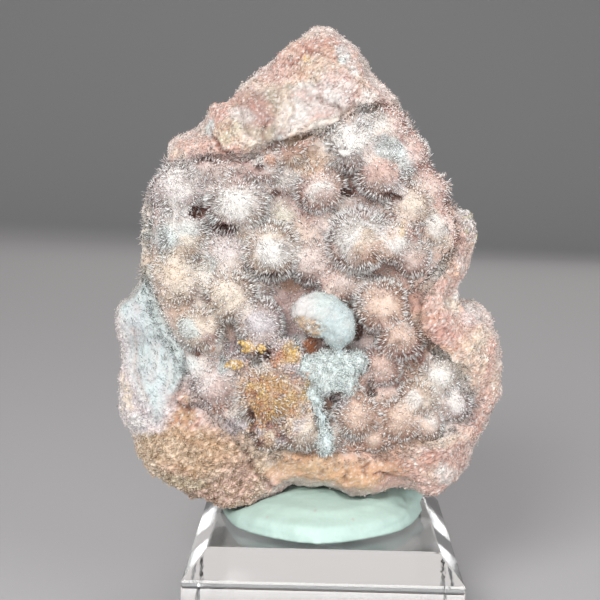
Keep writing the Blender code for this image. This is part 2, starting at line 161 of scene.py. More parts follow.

# Colour patches on the crust: (colour, x, z, half width, half height, strength). The dark patches are painted
# shade in holes; the brown and rust ones are partly the crust's own colour and partly painted shade in the
# gaps between the balls
CRUST_PATCHES = [
    ("white", 2.4, 73.6, 3.7, 3.3, 0.9), ("white", 7.2, 76.9, 2.6, 2.2, 0.8),
    ("blue", 10.8, 72, 2.9, 2.4, 0.8), ("rose", 8.5, 68, 2.6, 1.7, 0.7),
    ("blue", 13.5, 70.2, 1.5, 3.3, 0.6), ("lilac", 11.9, 64.8, 2.2, 2.6, 0.7),
    ("rust", 3.2, 64.3, 1.3, 0.9, 0.9), ("peach", -3.8, 69, 3.3, 1.7, 0.7),
    ("white", -7.4, 66.3, 2.8, 1.7, 0.7), ("mauve", -14.6, 66.7, 3.7, 1.7, 0.7),
    ("orange", -10.7, 69.8, 1.1, 1.1, 0.9), ("rust", -12.8, 68.1, 0.7, 0.6, 0.9),
    ("lilac", -27, 65.6, 3.7, 3.7, 0.7), ("white", -28.2, 60.8, 2.9, 1.8, 0.7),
    ("blue", -29.9, 54.9, 2.4, 2.4, 0.7), ("cream", -24.9, 55, 2.6, 1.7, 0.8),
    ("tan", -26.9, 52.4, 2.2, 1.5, 0.7), ("white", -16.9, 61.7, 3.7, 2.6, 1),
    ("green", -8.2, 60.3, 2, 2, 0.5), ("mauve", -4, 60.2, 2, 2, 0.6), ("white", -1.5, 63.5, 2.9, 2.2, 0.8),
    ("rust", -24, 60, 1.5, 0.9, 0.9), ("rust", -19.3, 57.1, 2.6, 0.9, 0.9),
    ("tan", -16, 55.9, 1.5, 1.1, 0.6), ("white", -9.9, 53.5, 3.7, 2.8, 1),
    ("white", -2.9, 52.1, 2.2, 2.6, 0.9), ("brown", -10.4, 48.3, 2.8, 0.7, 0.8),
    ("lilac", -18.5, 53.7, 2.2, 2.2, 0.7), ("blue", -22.7, 50.7, 2.2, 1.8, 0.6),
    ("tan", -28, 48.7, 2.2, 1.5, 0.8), ("orange", -7.8, 57, 0.6, 0.6, 0.9),
    ("cream", -18.4, 44.8, 2.9, 2, 0.9), ("rust", -22.7, 44.4, 1.1, 0.7, 0.7),
    ("tan", -7, 46.2, 2.4, 1.1, 0.6), ("white", 4.1, 56.7, 4.2, 4.1, 0.9),
    ("cream", 5.9, 57.8, 1.7, 0.9, 0.7), ("peach", 9.1, 53.1, 2.6, 1.8, 0.9),
    ("mauve", 5.8, 61.4, 2.6, 1.1, 0.7), ("mauve", 10.9, 60.4, 1.5, 1.1, 0.6),
    ("mauve", 15.5, 57.3, 1.8, 1.7, 0.7), ("white", 19.7, 58.4, 2.4, 2.2, 0.8),
    ("cream", 14.8, 62.3, 1.7, 1.3, 0.7), ("white", 12.5, 55.2, 2.2, 1.8, 0.7),
    ("gold", 13.1, 57.9, 0.6, 1.1, 0.6), ("peach", 9.1, 44.6, 2.4, 2, 0.7),
    ("grey", 5.8, 44.6, 1.5, 1.5, 0.6), ("dark", 5.2, 38.6, 1.3, 2, 1), ("violet", 6.8, 36, 2, 1.7, 0.8),
    ("white", 14.8, 39.9, 0.9, 1.5, 0.8), ("rose", 15.7, 44.8, 1.7, 1.8, 0.7),
    ("rose", 16.4, 35.1, 1.7, 2.6, 0.7), ("peach", 9.1, 33.1, 2.2, 1.5, 0.8),
    ("mauve", 10.8, 28.8, 2.4, 1.1, 0.8), ("dark", 8.3, 27.2, 0.7, 0.6, 1),
    ("peach", 5.4, 22.9, 2.6, 2.2, 0.9), ("peach", 12.5, 22, 2.6, 1.5, 0.9),
    ("white", 15.9, 26.8, 1.5, 2, 0.8), ("white", 21.3, 31.1, 2.2, 1.7, 0.8),
    ("lilac", 23.9, 25.8, 2.2, 2.2, 0.8), ("violet", -12.1, 40.1, 2.9, 2.2, 0.9),
    ("cream", -19.5, 40, 2.6, 1.7, 0.8), ("blue", -25.4, 39.1, 2.2, 2.2, 0.8),
    ("mauve", -21.7, 37.1, 1.7, 1.3, 0.7), ("amber", -21.1, 35.2, 0.9, 0.7, 1),
    ("rust", -24.3, 34.1, 1.1, 0.7, 0.7), ("blue", -19.4, 32.1, 0.9, 1.5, 0.9),
    ("violet", -17.2, 34.8, 1.5, 1.1, 0.8), ("mauve", -20.3, 27.5, 2.4, 2.2, 0.7),
    ("orange", -19.4, 24.3, 1.3, 0.9, 0.7), ("ochre", -10.8, 26.8, 4.6, 4, 0.9),
    ("gold", -13.1, 28.2, 1.7, 1.3, 0.8), ("gold", -3.4, 27.1, 0.9, 3.1, 0.9),
    ("rust", -13.8, 23.1, 0.9, 1.8, 0.8), ("rust", -10.9, 34.5, 1.8, 1.3, 0.8),
    ("rust", -2.9, 37.7, 1.1, 1.1, 1), ("amber", -2.1, 35.1, 0.9, 1.7, 1),
    ("gold", -6.5, 33.9, 1.5, 1.5, 0.9), ("blue", -5.1, 36.9, 1.3, 0.7, 0.9),
    ("white", -12, 31.9, 2.2, 1.3, 0.6), ("violet", -16.7, 20.5, 2.2, 1.1, 0.8),
    ("rust", -13.5, 19.9, 0.7, 1.8, 0.9), ("rust", -7.5, 19, 1.3, 0.9, 0.7),
    ("tan", -11.3, 17.6, 2, 1.1, 0.8), ("cream", -9.4, 15.5, 2.2, 0.9, 0.8),
    ("violet", 2.2, 26.1, 1.8, 1.3, 0.8), ("peach", 19.7, 35.2, 1.8, 1.3, 0.7),
    ("salmon", 10.5, 36.5, 5, 5.5, 0.6), ("peach", 13.5, 20, 7, 2.5, 0.7),
    ("salmon", -1.5, 51, 3.5, 4, 0.5), ("rose", -6.5, 63.5, 3, 3, 0.3), ("salmon", 14.5, 51.5, 4, 2.5, 0.7),
    ("peach", 6.5, 53.5, 3, 2.5, 0.6), ("rust", 11, 63.5, 2, 0.6, 0.9), ("cream", 24, 33, 3.5, 4, 0.8),
    ("amber", -10.5, 22, 2.5, 1.5, 0.7), ("rust", -12.5, 17.5, 1, 0.7, 0.8),
    ("gold", -7, 34.8, 1.4, 1.6, 0.9), ("amber", -9.5, 34.5, 1.4, 1.4, 0.8),
    ("amber", -3, 34.5, 1.2, 2.6, 0.9), ("white", -27, 66.5, 4, 3.5, 0.6),
    ("cream", -27, 50.5, 4.5, 3.5, 0.5), ("rust", -10, 63.5, 0.8, 0.6, 0.9),
    ("tan", 6.4, 55.6, 2.6, 2.4, 0.55), ("peach", 9, 53.2, 2.8, 2.4, 0.9), ("white", 3, 58, 2.2, 3.4, 0.8),
    ("white", 21, 32.5, 3.6, 2.6, 0.7), ("white", 24, 28, 4, 3.5, 0.6), ("salmon", 10, 67.8, 2.6, 2.2, 0.8),
    ("tan", -4.4, 69.6, 3.4, 1.8, 0.6), ("salmon", 0, 63, 2.4, 1.6, 0.6),
    ("peach", 10.2, 43.4, 3.2, 2.6, 0.6), ("peach", 13.2, 38, 3, 2.4, 0.6),
]

# Ovals on the crust and the rock: (x, z, half width, half height)
SUGARY_ZONE = (-9.3, 28.0, 7.6, 9.6)
GOLDEN_ZONE = (-9.8, 26.5, 5.4, 5.2)

# Smooth pale lumps on the crust: (x, z, y, half width, half height, half depth, colour)
PALE_LUMPS = [
    (-1.6, 42, -14.4, 5.2, 4.4, 2.6, "aqua"), (2, 40, -14.4, 3.2, 4.4, 2.8, "blue"),
    (1.2, 31.2, -13.6, 4.2, 3.6, 2.2, "aqua"), (-3.6, 32.4, -13.8, 1.8, 1.6, 1.2, "aqua"),
    (5.4, 33, -13.2, 1.8, 2, 1.4, "aqua"), (-2.4, 27.6, -13.8, 1.3, 2.4, 1.2, "aqua"),
    (-1.6, 24.8, -14, 0.9, 2, 1, "blue"), (-0.7, 22, -14.4, 0.8, 1.9, 0.9, "blue"),
    (0.1, 18.6, -14.8, 1.1, 2.7, 1.1, "blue"),
]

# The pale lump that small lobes cover, and how many there are
LOBED = 2
LOBES = 40
LOBE_SEED = 11

# A glassy cluster on the rock, and a stain and a dent on the lumps
EDGE_CLUSTER = (26.6, 60.0, 2.4, 4.6)
STAIN = (-4.6, 39.6, 4.0, 2.3)
CRATER = (2.2, 27.6)

# Clusters of golden grains: (x, z, y, half width, half height, half depth)
CRUMBS = [
    (-14.3, 36, -14.6, 1.3, 1, 0.8), (-12.2, 35.6, -14.4, 0.7, 0.6, 0.6),
    (-16.8, 32.4, -14.2, 1.7, 0.6, 0.7), (-6.6, 34.6, -14.4, 1.1, 1.2, 0.5),
]

# Cottony places with few needles: (x, z, half width, half height)
COTTON = [(-27.5, 49.5, 6.0, 7.0), (-18.4, 45.0, 4.2, 4.0), (-28.5, 40.5, 4.0, 4.0)]

# The pink rim on the hollow's upper right, and the heights between which the crust's edge rises
RIM = [(9.5, 81.5), (14.8, 73.5), (19.2, 65.5), (23.2, 58.5), (24.8, 52.0)]
UPPER_EDGE = (50.0, 56.0)

# Colour patches on the rock's face: (colour, x, z, half width, half height, strength)
PATCHES = [
    ("rose", -4.5, 90, 2.5, 2, 0.8), ("cream", -6, 92, 2.5, 1, 0.6), ("gold", -5, 87.5, 1, 0.5, 0.6),
    ("cream", -5, 86.5, 1.5, 0.5, 0.7), ("peach", -6, 85.5, 2.5, 1, 0.6),
    ("white", -5.5, 82.5, 2, 1.5, 0.7), ("cream", -3.5, 84, 1.5, 1, 0.6), ("lilac", 0.5, 82, 3.5, 4, 0.8),
    ("pink", 1, 85, 2.5, 1.5, 0.6), ("blue", 2, 89, 1.5, 2, 0.9), ("white", 4, 86.5, 1, 2, 0.8),
    ("rose", -0.5, 89, 1.5, 1.5, 0.5), ("pink", -10.5, 85, 3, 2, 0.7), ("cream", -12.5, 83, 2, 1, 0.5),
    ("rose", -12.5, 78.5, 2, 2.5, 0.8), ("rose", -15.5, 80.5, 2, 1, 0.5), ("cream", -8.5, 79, 2, 3, 0.7),
    ("grey", -7, 77.5, 2.5, 2, 0.7), ("blue", -8, 74, 1, 0.5, 0.9), ("grey", -3.5, 77.5, 3, 1.5, 0.8),
    ("mauve", -2.5, 78.5, 1.5, 1, 0.5), ("tan", 1.5, 78.5, 1.5, 0.5, 0.6), ("white", -3, 75.5, 4, 1.5, 0.9),
    ("white", 2.5, 77, 1.5, 1, 0.7), ("grey", -17, 77.5, 2.5, 1.5, 0.7), ("green", -19, 74.5, 2.5, 2, 0.8),
    ("cream", -15, 73, 3, 2, 0.8), ("tan", -12.5, 71, 2.5, 1, 0.6), ("pink", -21, 78, 2, 1.5, 0.8),
    ("rose", -20.5, 75.5, 1, 1.5, 0.5), ("blue", -22.5, 75.5, 1, 1.5, 0.9),
    ("pink", -23.5, 72, 3, 1.5, 0.8), ("rose", -21.5, 72.5, 1.5, 0.5, 0.6),
    ("cream", -27.5, 71, 1.5, 1, 0.7), ("white", 7, 81, 2, 2.5, 0.8), ("cream", 9.5, 78.5, 1.5, 3.5, 0.7),
    ("pink", 10, 81, 1.5, 3, 0.8), ("rose", 11.5, 76, 1, 2.5, 0.6), ("white", -30.5, 67.5, 1.5, 2, 0.6),
    ("cream", -31.5, 63, 1.5, 3, 0.9), ("pink", -32.5, 59.5, 1, 2, 0.5), ("tan", -33, 55, 1, 3, 0.7),
    ("peach", -33, 51, 1, 1.5, 0.6), ("cream", -32.5, 47.5, 1, 1.5, 0.7), ("grey", -32.5, 44, 2, 1.5, 0.6),
    ("cream", -35, 47.5, 1, 1, 0.9), ("white", -38, 38.5, 1, 6.5, 0.7), ("cream", -38, 25, 1.5, 4, 0.9),
    ("white", -35.5, 20, 2, 2.5, 0.9), ("grey", -36.5, 32.5, 1, 5, 0.6),
    ("peach", -33.5, 28.5, 1, 1.5, 0.5), ("lilac", -29.5, 24.5, 1.5, 2, 0.8),
    ("green", -32.5, 17.5, 2, 1, 0.6), ("ochre", -24, 25.5, 2.5, 1.2, 0.8),
    ("ochre", -26, 22.5, 2, 1.5, 0.7), ("brown", -25, 24, 1, 0.5, 0.8), ("amber", -27.5, 21, 1, 0.5, 0.6),
    ("tan", -25, 16, 8, 4.5, 0.9), ("cream", -27.5, 15.5, 5, 2.5, 0.5), ("green", -26.5, 9, 5, 2, 0.8),
    ("pink", -16, 12, 4, 3, 0.6), ("peach", -19, 14.5, 3.5, 2, 0.5), ("rust", -20.5, 5, 1, 0.5, 0.8),
    ("brown", -14, 5.5, 3.5, 1, 0.5), ("tan", -4.5, 13, 8.5, 3.5, 0.9), ("amber", -4.5, 15, 3.5, 1.5, 0.25),
    ("peach", -4.5, 10, 5.5, 1.5, 0.6), ("cream", -12, 15.5, 2, 3.5, 0.8),
    ("green", -1.5, 12.5, 2.5, 2, 0.6), ("amber", 7.5, 12.5, 5, 2, 0.35), ("peach", 5, 17.5, 5, 1.5, 0.7),
    ("tan", 5, 10, 5.5, 1.5, 0.8), ("rust", 10.5, 11.5, 1.5, 0.5, 0.7), ("orange", 13.5, 13.5, 2.5, 2, 0.5),
    ("cream", 18.5, 20, 4.5, 2, 0.9), ("white", 16, 17.5, 2.5, 0.5, 0.8),
    ("cream", 22.5, 19.5, 1.5, 2, 0.7), ("rose", 19, 15.5, 2, 2, 0.8), ("pink", 22.5, 16, 2, 2, 0.7),
    ("white", 22.5, 12, 2.5, 2, 0.8), ("pink", 19.5, 11, 1.5, 1.5, 0.5), ("pink", 26, 26.5, 1.5, 5, 0.8),
    ("rose", 28, 22.5, 1, 2, 0.4), ("peach", 21, 35.5, 3, 1.5, 0.9), ("cream", 22, 33, 3.5, 1.5, 0.8),
    ("white", 23.5, 31.5, 2, 1.5, 0.8), ("peach", 26, 37, 2, 2, 0.7), ("rose", 20.5, 38.5, 3, 2, 0.8),
    ("rose", 26, 40, 1.5, 1.5, 0.5), ("orange", 19.5, 43, 1.5, 1.5, 0.4), ("white", 14.5, 40, 1.5, 2, 0.9),
    ("lilac", 27.5, 42, 2, 2, 0.7), ("cream", 29, 36, 1.5, 5, 0.7), ("white", 25, 46.5, 1.5, 1.5, 0.9),
    ("cream", 23, 44.5, 3, 1, 0.6), ("pink", 19.5, 45, 2.5, 2, 0.8), ("rose", 17, 44, 1.5, 3, 0.6),
    ("rose", 17, 35.5, 2, 2.5, 0.7), ("white", 25.5, 59.5, 1.5, 2, 0.8), ("grey", 24.5, 61, 1.5, 1, 0.8),
    ("peach", 26, 57, 1, 1, 0.7), ("pink", 23, 54, 1.5, 4, 0.8), ("rose", 24, 57.5, 0.5, 3.5, 0.5),
    ("cream", 21.5, 56.5, 1.5, 2, 0.8), ("white", 24, 52, 1, 2.5, 0.7), ("peach", 21.5, 50.5, 2, 2, 0.7),
    ("cream", 22.5, 29, 4.5, 6, 0.8), ("cream", 27, 33, 3, 6, 0.6), ("grey", -3, 79, 5.5, 4, 0.7),
    ("grey", 1, 80.5, 3, 3, 0.5), ("orange", 3, 11.5, 9, 2.5, 0.35), ("tan", 4, 12.5, 10, 3, 0.6),
]
WHITE_FACE = [
    (-34, 49), (-32.3, 44.7), (-28.6, 38.4), (-26, 35.5), (-24.7, 32.4), (-26.7, 29.3), (-29.5, 25.3),
    (-31.8, 21.5), (-34.7, 26.5), (-36.8, 33.2), (-38.2, 38.6), (-38.6, 42.9), (-36.3, 46.1),
]

# Bands and cracks on the rock's face: (colour, points, half width, height, strength). The dark strokes that
# sink are partly the cracks' own colour and partly painted shade in them
STROKES = [
    ("pink", [(3, 91), (9.5, 81.5), (14.5, 74), (19, 66), (23, 59), (24.5, 52.5)], 1.3, 0.1, 0.8),
    ("rust", [(-9, 87.5), (-7.5, 88), (-5, 89), (-2, 88.5)], 0.35, -0.2, 0.7),
    ("mauve", [(-8.5, 72), (-5.5, 75), (-2, 77.5), (-0.5, 78.5)], 0.5, -0.8, 0.6),
    ("brown", [(-8, 72), (-2, 73.5), (3, 77), (3.5, 78.5)], 0.5, -0.4, 0.25),
    ("brown", [(-2.6, 81), (-0.4, 79.6), (1.8, 77.9), (1.1, 76.1)], 0.45, -1.1, 0.6),
    ("white", [(-6.2, 74.4), (-3.9, 75.3), (-1.2, 75.9), (0.4, 76.8)], 0.6, 0.8, 0.6),
    ("clay", [(-8.7, 72), (-6.2, 73.5), (-3.9, 74.3)], 0.45, -1, 0.5),
    ("mauve", [(-7.6, 80.9), (-6.2, 82.4), (-4.7, 82)], 0.4, -0.9, 0.5),
    ("grey", [(-17.4, 77.6), (-16.4, 74.6), (-12.5, 72)], 0.7, -0.8, 0.4),
    ("mauve", [(-13.5, 79), (-11.5, 76.5), (-11.8, 73.5)], 0.4, -0.8, 0.4),
    ("cream", [(-7.5, 73.8), (-4.5, 75.6), (0.5, 76.4)], 0.8, 0.7, 0.5),
    ("brown", [(-10, 78.5), (-9.5, 81), (-10, 82)], 0.35, -0.8, 0.5),
    ("mauve", [(-6, 82), (-4.5, 81), (-3.5, 81.5)], 0.3, -0.6, 0.6),
    ("mauve", [(-2, 82.5), (-2, 80.5)], 0.35, -0.7, 0.5),
    ("cream", [(-8.6, 82), (-7.4, 79), (-8, 76.5)], 0.6, 0.6, 0.5),
    ("white", [(-6, 80), (-5, 78.2)], 0.6, 0.5, 0.5),
    ("rust", [(-22, 74.5), (-20.5, 72), (-18, 69.5)], 0.4, -0.9, 0.8),
    ("rust", [(22, 35.5), (22.5, 33)], 0.3, -0.5, 0.7),
    ("brown", [(-16.5, 18), (-13.5, 12), (-10, 8), (-6.5, 7)], 0.5, -1.1, 0.7),
    ("brown", [(-1, 11), (0, 12.5)], 0.3, -0.5, 0.5), ("brown", [(3.8, 9.5), (4, 12)], 0.3, -0.7, 0.5),
    ("brown", [(7.5, 10.5), (7, 12.5), (8.5, 14.5)], 0.3, -0.6, 0.5),
    ("rust", [(9, 11.5), (11, 11.5), (13, 10.5)], 0.45, -0.9, 0.7),
    ("mauve", [(-29.5, 24), (-27.5, 28), (-25.5, 32)], 0.5, -0.7, 0.6),
    ("mauve", [(-36.5, 38.5), (-35.5, 31), (-33.5, 25)], 0.5, -0.4, 0.4),
    ("peach", [(28, 32), (26.5, 28), (25, 24)], 0.5, 0.5, 0.6),
    ("brown", [(-28, 24), (-25.5, 23), (-22.5, 24.5)], 0.6, -1.2, 0.7),
]

# Places where the rock's edge is drawn further in than its solid, or out below 0: (x, z, spread, mm)
SLIMMER = [
    (-21, 82, 3.5, 1.8), (6, 88, 5, 0.9), (-9, 90, 5, 0.6), (19, 67.5, 5, 1.3), (24.5, 44.5, 3, 2),
    (-30, 7, 6, 1.2), (24, 7, 3.5, 1.6), (-33, 66, 4, 0.7), (-1.5, 94.5, 4.5, -1.5), (19.5, 63.5, 4, 0.7),
]
SLIM_ALL = 0.45

# The way that the needles of the white face lean
FUR_LEAN = np.array([0.7, -0.5, -0.9])

PUTTY_COLOUR = np.array([0.54, 0.72, 0.66])
PUTTY_CREASE = [(-14.0, 1.6), (-2.0, 1.0), (8.0, 1.2), (15.0, 2.2)]
PUTTY_WIDER = 1.04
STREAKS_PER_METRE = (2200.0, 2200.0, 18.0)


def unit(rows):
    """Rows made one long."""
    return rows / np.linalg.norm(rows, axis=1)[:, None]


def draw(weight, count):
    """Random row numbers, likelier where the weight is more."""
    return rng.choice(len(weight), size=count, p=weight / weight.sum())


def mixed_colours(names, count):
    """Palette colours drawn evenly from a few names."""
    return np.array([COLOUR[name] for name in names])[rng.integers(len(names), size=count)]


def oval(x, z, spot):
    """How far places are from an oval's middle, squared, 1 on its edge; spot is x, z and half sizes."""
    return ((x - spot[0]) / spot[2]) ** 2 + ((z - spot[1]) / spot[3]) ** 2


def oval_at(points, spot):
    """The same for rows of x, y, z."""
    return oval(points[:, 0], points[:, 2], spot)


PRIMES = np.array([73856093, 19349663, 83492791])


def hashed(cell, seed):
    """A fixed random number from 0 to 1 for each whole-numbered cell."""
    x, y, z = (cell * PRIMES).T
    mixed = x ^ y ^ z ^ (seed * 2654435 + 97)
    mixed = (mixed ^ (mixed >> 13)) * 1274126177
    mixed = mixed ^ (mixed >> 16)
    return (mixed & 0xFFFFFF) / 0xFFFFFF


def cloud(points, size, seed=0):
    """Smooth noise from -1 to 1 whose lumps have the given size in mm."""
    scaled = points / size
    cell = np.floor(scaled).astype(np.int64)
    part = scaled - cell
    part = part * part * (3.0 - 2.0 * part)
    total = np.zeros(len(points))
    for corner in itertools.product((0, 1), repeat=3):
        weight = np.prod(np.where(corner, part, 1.0 - part), axis=1)
        total += weight * hashed(cell + corner, seed)
    return total * 2.0 - 1.0


def three_clouds(points, size, seed):
    """Smooth noise in each of the three directions."""
    return np.stack([cloud(points, size, seed + k) for k in range(3)], axis=1)


def pebbles(points, size, seed=0):
    """How near each point is to the nearest of scattered spots, and that spot's own number.

    The first result is 1 on a spot and 0 a cell away from every spot.
    """
    scaled = points / size
    cell = np.floor(scaled).astype(np.int64)
    near = np.full(len(points), 9.0)
    number = np.zeros(len(points))
    for step in itertools.product((-1, 0, 1), repeat=3):
        other = cell + step
        spot = other + np.stack([hashed(other, seed + k) for k in range(3)], axis=1)
        apart = ((scaled - spot) ** 2).sum(axis=1)
        closer = apart < near
        near = np.where(closer, apart, near)
        number = np.where(closer, hashed(other, seed + 3), number)
    return np.clip(1.0 - np.sqrt(near), 0.0, 1.0), number


def rows_of(items, field, width):
    """One field of a mesh's items, as an array with a row for each."""
    flat = np.empty(len(items) * width, np.float32)
    items.foreach_get(field, flat)
    return flat.reshape(-1, width).astype(float)


def surface(mesh):
    """A mesh's points in mm, and the normals there."""
    return rows_of(mesh.vertices, "co", 3) / MM - SHIFT, rows_of(mesh.vertex_normals, "vector", 3)


def move_to(mesh, points):
    """Put a mesh's points where an array in mm says."""
    mesh.vertices.foreach_set("co", ((points + SHIFT) * MM).astype(np.float32).ravel())
    mesh.update()


def tint(mesh, colours):
    """Keep a colour for each point of a mesh."""
    layer = mesh.color_attributes.new("tint", "FLOAT_COLOR", "POINT")
    rows = np.ones((len(mesh.vertices), 4), np.float32)
    rows[:, :3] = np.clip(colours * DIM, 0.0, 1.0)
    layer.data.foreach_set("color", rows.ravel())


def add_object(name, data):
    """An object in the scene."""
    made = bpy.data.objects.new(name, data)
    bpy.context.scene.collection.objects.link(made)
    return made


def new_object(name, mesh, finish):
    """An object that rides on the part."""
    made = add_object(name, mesh)
    made.data.materials.clear()
    made.data.materials.append(finish)
    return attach(made, "root")


def even_skin(mesh, voxel, smoothing):
    """A mesh as one even skin of small faces, with its facets smoothed away."""
    holder = add_object("skin", mesh.copy())
    skin = holder.modifiers.new("skin", "REMESH")
    skin.mode = "VOXEL"
    skin.voxel_size = voxel * MM
    soft = holder.modifiers.new("soft", "SMOOTH")
    soft.factor = 0.5
    soft.iterations = smoothing
    bpy.context.view_layer.update()
    seen = holder.evaluated_get(bpy.context.evaluated_depsgraph_get())
    made = bpy.data.meshes.new_from_object(seen)
    bpy.data.objects.remove(holder)
    return made


def joined_skin(shape, voxel, smoothing):
    """Several bodies as one even skin."""
    joined = bpy.data.meshes.new("joined")
    shape.to_mesh(joined)
    shape.free()
    return even_skin(joined, voxel, smoothing)


def solid_tree(mesh):
    """A search tree of a mesh's surface, in metres."""
    shape = bmesh.new()
    shape.from_mesh(mesh)
    tree = BVHTree.FromBMesh(shape)
    shape.free()
    return tree


def clearance(tree, points):
    """Distance in mm from each point to a surface, below 0 inside it."""
    found = np.empty(len(points))
    for index, point in enumerate((points + SHIFT) * MM):
        spot, normal, _, apart = tree.find_nearest(point)
        inside = (Vector(point) - spot).dot(normal) < 0.0
        found[index] = -apart / MM if inside else apart / MM
    return found


def many_faces(name, points, faces, colours, cells, cell_places):
    """A mesh from arrays, with a bake map that gives each small body a cell of its own."""
    mesh = bpy.data.meshes.new(name)
    mesh.vertices.add(len(points))
    mesh.loops.add(faces.size)
    mesh.polygons.add(len(faces))
    mesh.loops.foreach_set("vertex_index", faces.ravel().astype(np.int32))
    starts = np.arange(0, faces.size, 3, dtype=np.int32)
    mesh.polygons.foreach_set("loop_start", starts)
    move_to(mesh, points)
    mesh.update(calc_edges=True)
    mesh.validate()
    tint(mesh, colours)
    across = math.ceil(math.sqrt(cells.max() + 1))
    corner = np.stack([cells % across, cells // across], axis=1)
    places = (corner + cell_places) / across
    layer = mesh.uv_layers.new(name="OFBake")
    layer.data.foreach_set("uv", places[faces.ravel()].astype(np.float32).ravel())
    return mesh


NEEDLE_WIDEST = 0.62
NEEDLE_CELL = np.array([(0.12, 0.12), (0.88, 0.88), (0.8, 0.2), (0.2, 0.8)])
NEEDLE_FACES = np.array([(0, 3, 2), (2, 3, 1), (0, 1, 3), (0, 2, 1)])


def needle_mesh(name, roots, tips, widths, root_colours, middle_colours, tip_colours):
    """Thin crystals in one mesh, each a closed sliver of four faces."""
    count = len(roots)
    axis = unit(tips - roots)
    side = unit(np.cross(axis, rng.normal(size=(count, 3))))
    other = np.cross(axis, side)
    middle = roots + (tips - roots) * NEEDLE_WIDEST
    third = math.radians(120)
    left = middle + side * widths[:, None]
    right = middle + (side * math.cos(third) + other * math.sin(third)) * widths[:, None]
    points = np.stack([roots, tips, left, right], axis=1).reshape(-1, 3)
    colours = np.stack([root_colours, tip_colours, middle_colours, middle_colours], axis=1).reshape(-1, 3)
    faces = (np.arange(count)[:, None, None] * 4 + NEEDLE_FACES).reshape(-1, 3)
    cells = np.repeat(np.arange(count), 4)
    return many_faces(name, points, faces, colours, cells, np.tile(NEEDLE_CELL, (count, 1)))


def random_turns(count):
    """Random rotation matrices."""
    w, x, y, z = unit(rng.normal(size=(count, 4))).T
    rows = [
        (1 - 2 * (y * y + z * z), 2 * (x * y - z * w), 2 * (x * z + y * w)),
        (2 * (x * y + z * w), 1 - 2 * (x * x + z * z), 2 * (y * z - x * w)),
        (2 * (x * z - y * w), 2 * (y * z + x * w), 1 - 2 * (x * x + y * y)),
    ]
    return np.stack([np.stack(row, axis=1) for row in rows], axis=1)


def grain_mesh(name, shape, places, sizes, colours, uneven=0.25):
    """Copies of a small closed shape in one mesh, each turned and dented at random."""
    corners, faces = shape
    count = len(places)
    dents = 1.0 + rng.uniform(-uneven, uneven, (count, len(corners), 1))
    bodies = corners[None] * dents * sizes[:, None, None]
    points = np.einsum("nij,nkj->nki", random_turns(count), bodies) + places[:, None]
    x, y, z = corners.T
    flat = 0.5 + 0.33 * np.stack([x + 0.3 * z, y - 0.2 * z], axis=1)
    all_faces = (np.arange(count)[:, None, None] * len(corners) + faces[None]).reshape(-1, 3)
    cells = np.repeat(np.arange(count), len(corners))
    return many_faces(name, points.reshape(-1, 3), all_faces, np.repeat(colours, len(corners), axis=0),
                      cells, np.tile(flat, (count, 1)))


def bead():
    """A rough bead of 20 faces as corner and face arrays."""
    shape = bmesh.new()
    bmesh.ops.create_icosphere(shape, subdivisions=1, radius=1.0)
    corners = np.array([point.co[:] for point in shape.verts])
    faces = np.array([[point.index for point in face.verts] for face in shape.faces])
    shape.free()
    return corners, faces


def lozenge():
    """A pointed crystal of 8 faces as corner and face arrays."""
    corners = np.array([(1, 0, 0), (-1, 0, 0), (0, 0.8, 0), (0, -0.8, 0), (0, 0, 1.5), (0, 0, -1.5)], float)
    faces = np.array([(0, 2, 4), (2, 1, 4), (1, 3, 4), (3, 0, 4), (2, 0, 5), (1, 2, 5), (3, 1, 5), (0, 3, 5)])
    return corners, faces


def set_inputs(node, values):
    """A node with values set on its own sockets."""
    for socket, value in values.items():
        node.inputs[socket].default_value = value
    return node


def new_finish(name, values):
    """A Principled material with its nodes, its links and its shader."""
    made = bpy.data.materials.new(name)
    made.use_nodes = True
    nodes = made.node_tree.nodes
    return made, nodes, made.node_tree.links, set_inputs(nodes["Principled BSDF"], values)


def shader_nodes(name, roughness, bump=0.0, bump_size=0.5, colour_change=0.0, glow=0.0):
    """A Principled material that takes its colour from the tint, with fine changes and bump."""
    made, nodes, links, shader = new_finish(name, {
        "Roughness": roughness, "Subsurface Weight": glow, "Subsurface Radius": (1.0, 0.8, 0.7),
        "Subsurface Scale": 1.0 * MM})
    paint = nodes.new("ShaderNodeAttribute")
    paint.attribute_name = "tint"
    place = nodes.new("ShaderNodeTexCoord")
    grain = set_inputs(nodes.new("ShaderNodeTexNoise"), {"Scale": 1.0 / (bump_size * MM), "Detail": 4.0})
    links.new(place.outputs["Object"], grain.inputs["Vector"])
    change = set_inputs(nodes.new("ShaderNodeMapRange"), {
        "From Min": 0.3, "From Max": 0.7, "To Min": 1.0 - colour_change, "To Max": 1.0 + colour_change})
    links.new(grain.outputs["Fac"], change.inputs["Value"])
    blend = nodes.new("ShaderNodeVectorMath")
    blend.operation = "SCALE"
    links.new(paint.outputs["Color"], blend.inputs["Vector"])
    links.new(change.outputs["Result"], blend.inputs["Scale"])
    links.new(blend.outputs["Vector"], shader.inputs["Base Color"])
    if bump:
        relief = set_inputs(nodes.new("ShaderNodeBump"), {"Strength": 1.0, "Distance": bump * MM})
        links.new(grain.outputs["Fac"], relief.inputs["Height"])
        links.new(relief.outputs["Normal"], shader.inputs["Normal"])
    return made


def near_line(x, z, points):
    """Distance in mm from each place to a line of points."""
    best = np.full(len(x), 99.0)
    for (ax, az), (bx, bz) in zip(points, points[1:]):
        dx, dz = bx - ax, bz - az
        along = np.clip(((x - ax) * dx + (z - az) * dz) / (dx * dx + dz * dz), 0.0, 1.0)
        best = np.minimum(best, np.hypot(x - ax - along * dx, z - az - along * dz))
    return best


def within(x, z, corners):
    """Whether each place is inside a polygon."""
    inside = np.zeros(len(x), bool)
    for (ax, az), (bx, bz) in zip(corners, corners[1:] + corners[:1]):
        crosses = (az > z) != (bz > z)
        inside ^= crosses & (x < (bx - ax) * (z - az) / (bz - az + 1e-9) + ax)
    return inside


